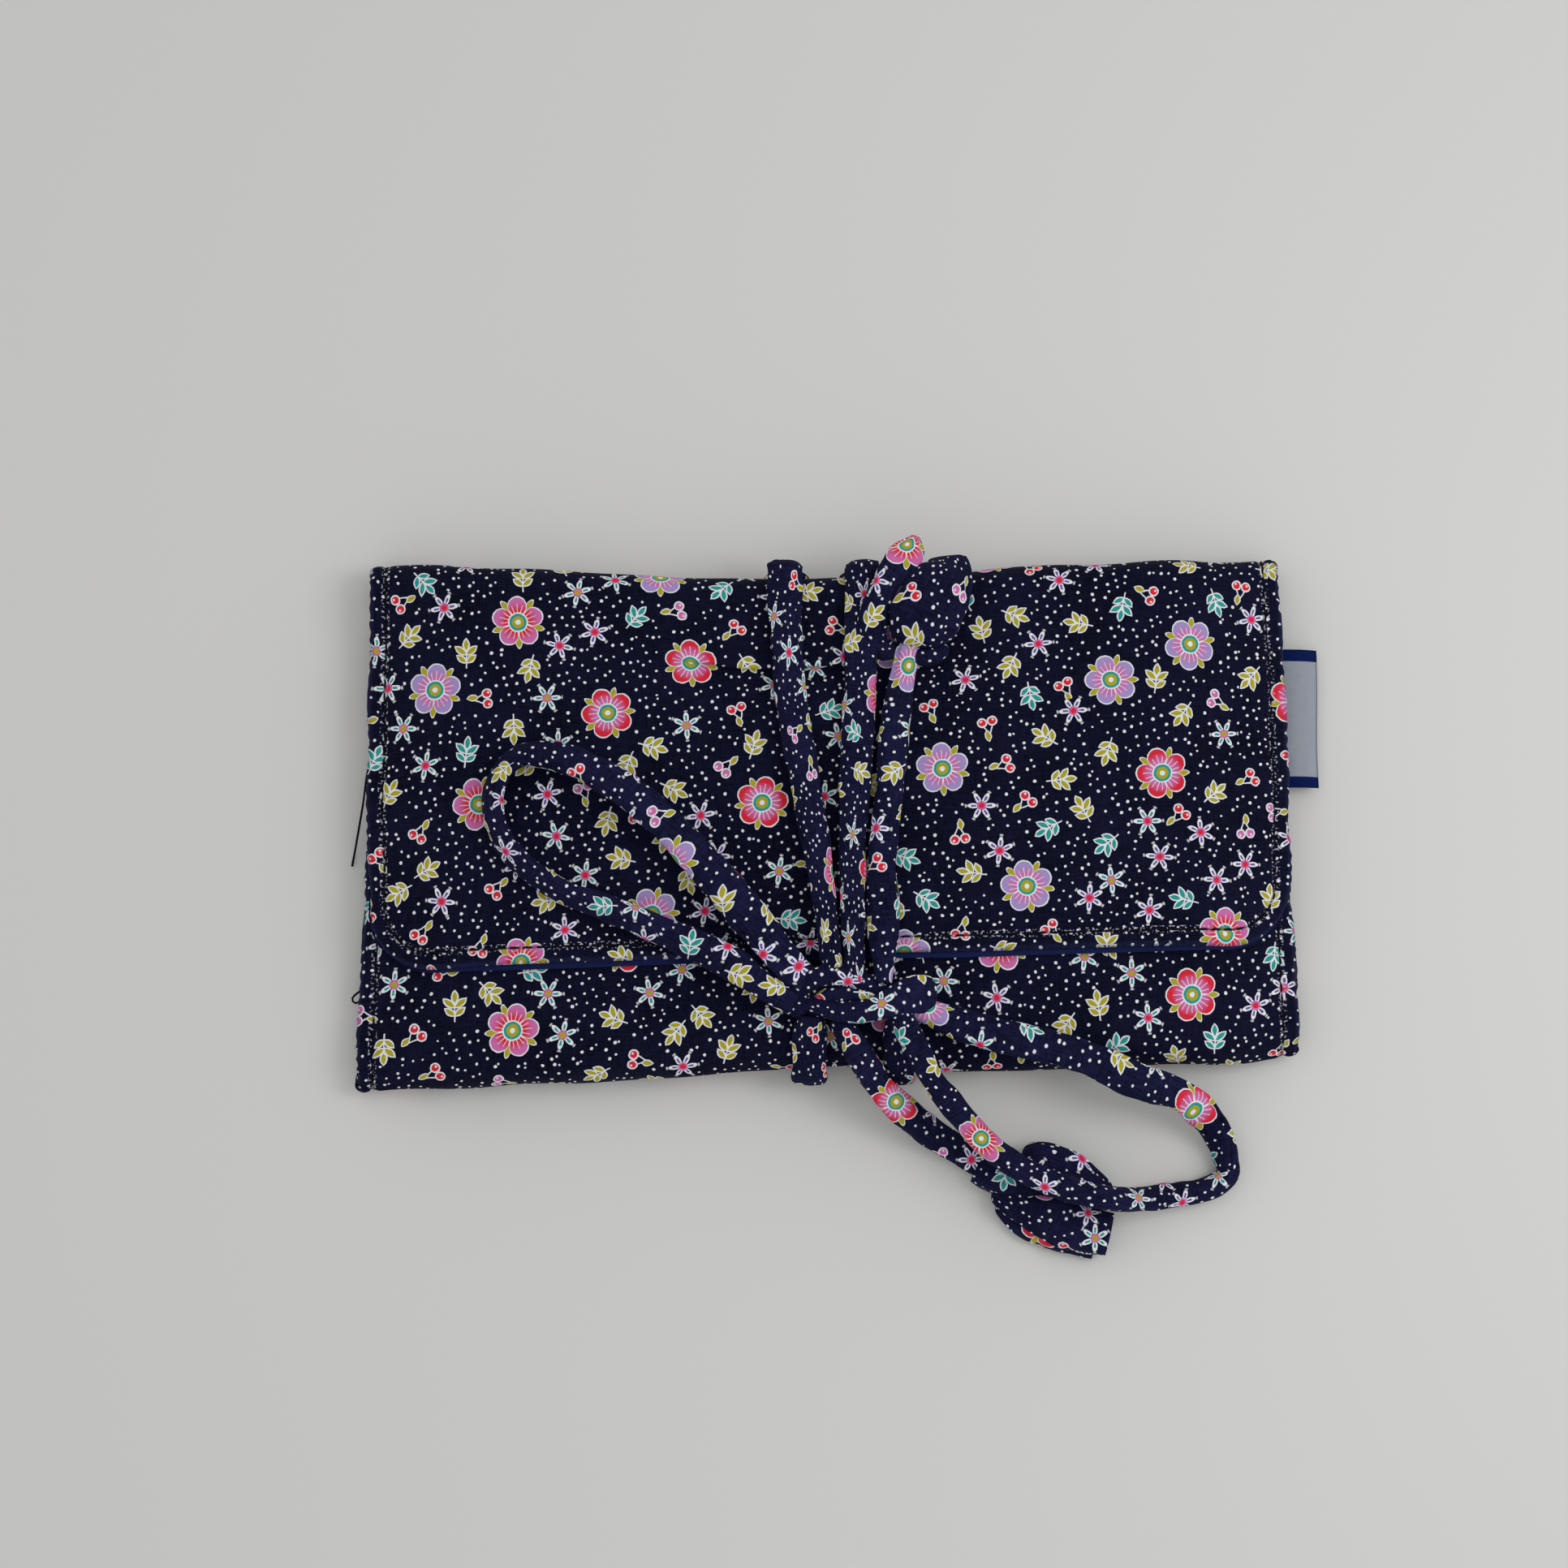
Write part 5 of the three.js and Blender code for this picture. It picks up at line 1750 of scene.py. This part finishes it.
def label_point(out, v, layer):
    """A place on the ribbon: how far out it is, how far down, and which layer."""
    y = drape(HALF_WIDTH, LABEL_TOP - v, ROOM_BOTTOM)[..., 1]
    past = np.maximum(out - HALF_WIDTH, 0) / (LABEL_TIP - HALF_WIDTH)
    ripple = LABEL_RIPPLE * past * np.sin(v / LABEL_RIPPLE_RUN)
    wander = LABEL_WANDER * past * np.sin(v / LABEL_WANDER_RUN + 1)
    height = LABEL_HEIGHT - LABEL_DROOP * past**2 + ripple + layer
    return np.stack([out + wander, y + 0 * out, height], axis=-1)


def label_grid(offset):
    """The ribbon's outer or inner face, out along one layer and back along the other."""
    down = np.linspace(0, LABEL_LENGTH, LABEL_ROWS)
    v, turn = np.meshgrid(down, np.linspace(0, 1, LABEL_COLUMNS), indexing="ij")
    reach = LABEL_TIP - LABEL_TUCK
    out = LABEL_TIP - offset - reach * abs(1 - 2 * turn) ** LABEL_ROUNDING
    layer = (LABEL_LAYER - offset) * np.clip((turn - 0.5) * LABEL_FOLD, -1, 1)
    return label_point(out, v, layer), np.stack([reach * (2 * turn - 1), v], axis=-1)


outer_face, label_places = label_grid(0)
inner_face, _ = label_grid(RIBBON)
side_label = closed_cloth("side_label_ribbon", outer_face, inner_face, label_places, SATIN)
cover(side_label, with_shell, "satin_label", "side_label")
2 * (LABEL_TIP - LABEL_TUCK) * MM
print("label", LABEL_LENGTH, "mm long, out to", round(LABEL_TIP, 1))

# %% [markdown]
# ## Loose threads
# A hand-sewn thing keeps a thread or two. One long end hangs from the left seam down to the
# table, and a tiny loop stands out lower on the same side.

# %% Threads
LOOSE_THREADS = {
    "loose_thread_end": (
        (-98.9, 13.4, 7.4), (-99.9, 10, 7), (-101, 3.2, 5.2),
        (-102.2, -3, 3.2), (-103, -6.6, 1.6), (-103.7, -9.8, 0.5),
    ),
    "loose_thread_loop": (
        (-100.8, -37.2, 4), (-101.9, -38, 4.2), (-102.6, -38.8, 4),
        (-102.3, -39.8, 3.6), (-101.3, -39.6, 3.4), (-100.6, -39, 3.4),
    ),
}
LOOSE_SEED = 50
for name, rows in LOOSE_THREADS.items():
    stops = [stop(row, UPWARD, 2 * THREAD_RADIUS, 2 * THREAD_RADIUS) for row in rows]
    points, faces, places, _ = tube(stops, LOOSE_SEED, 1, 1)
    piece = add_mesh(name, points, faces, places, THREAD)
    cover(piece, with_shell, "tie_cotton")
    print(name, "of", len(points), "points")
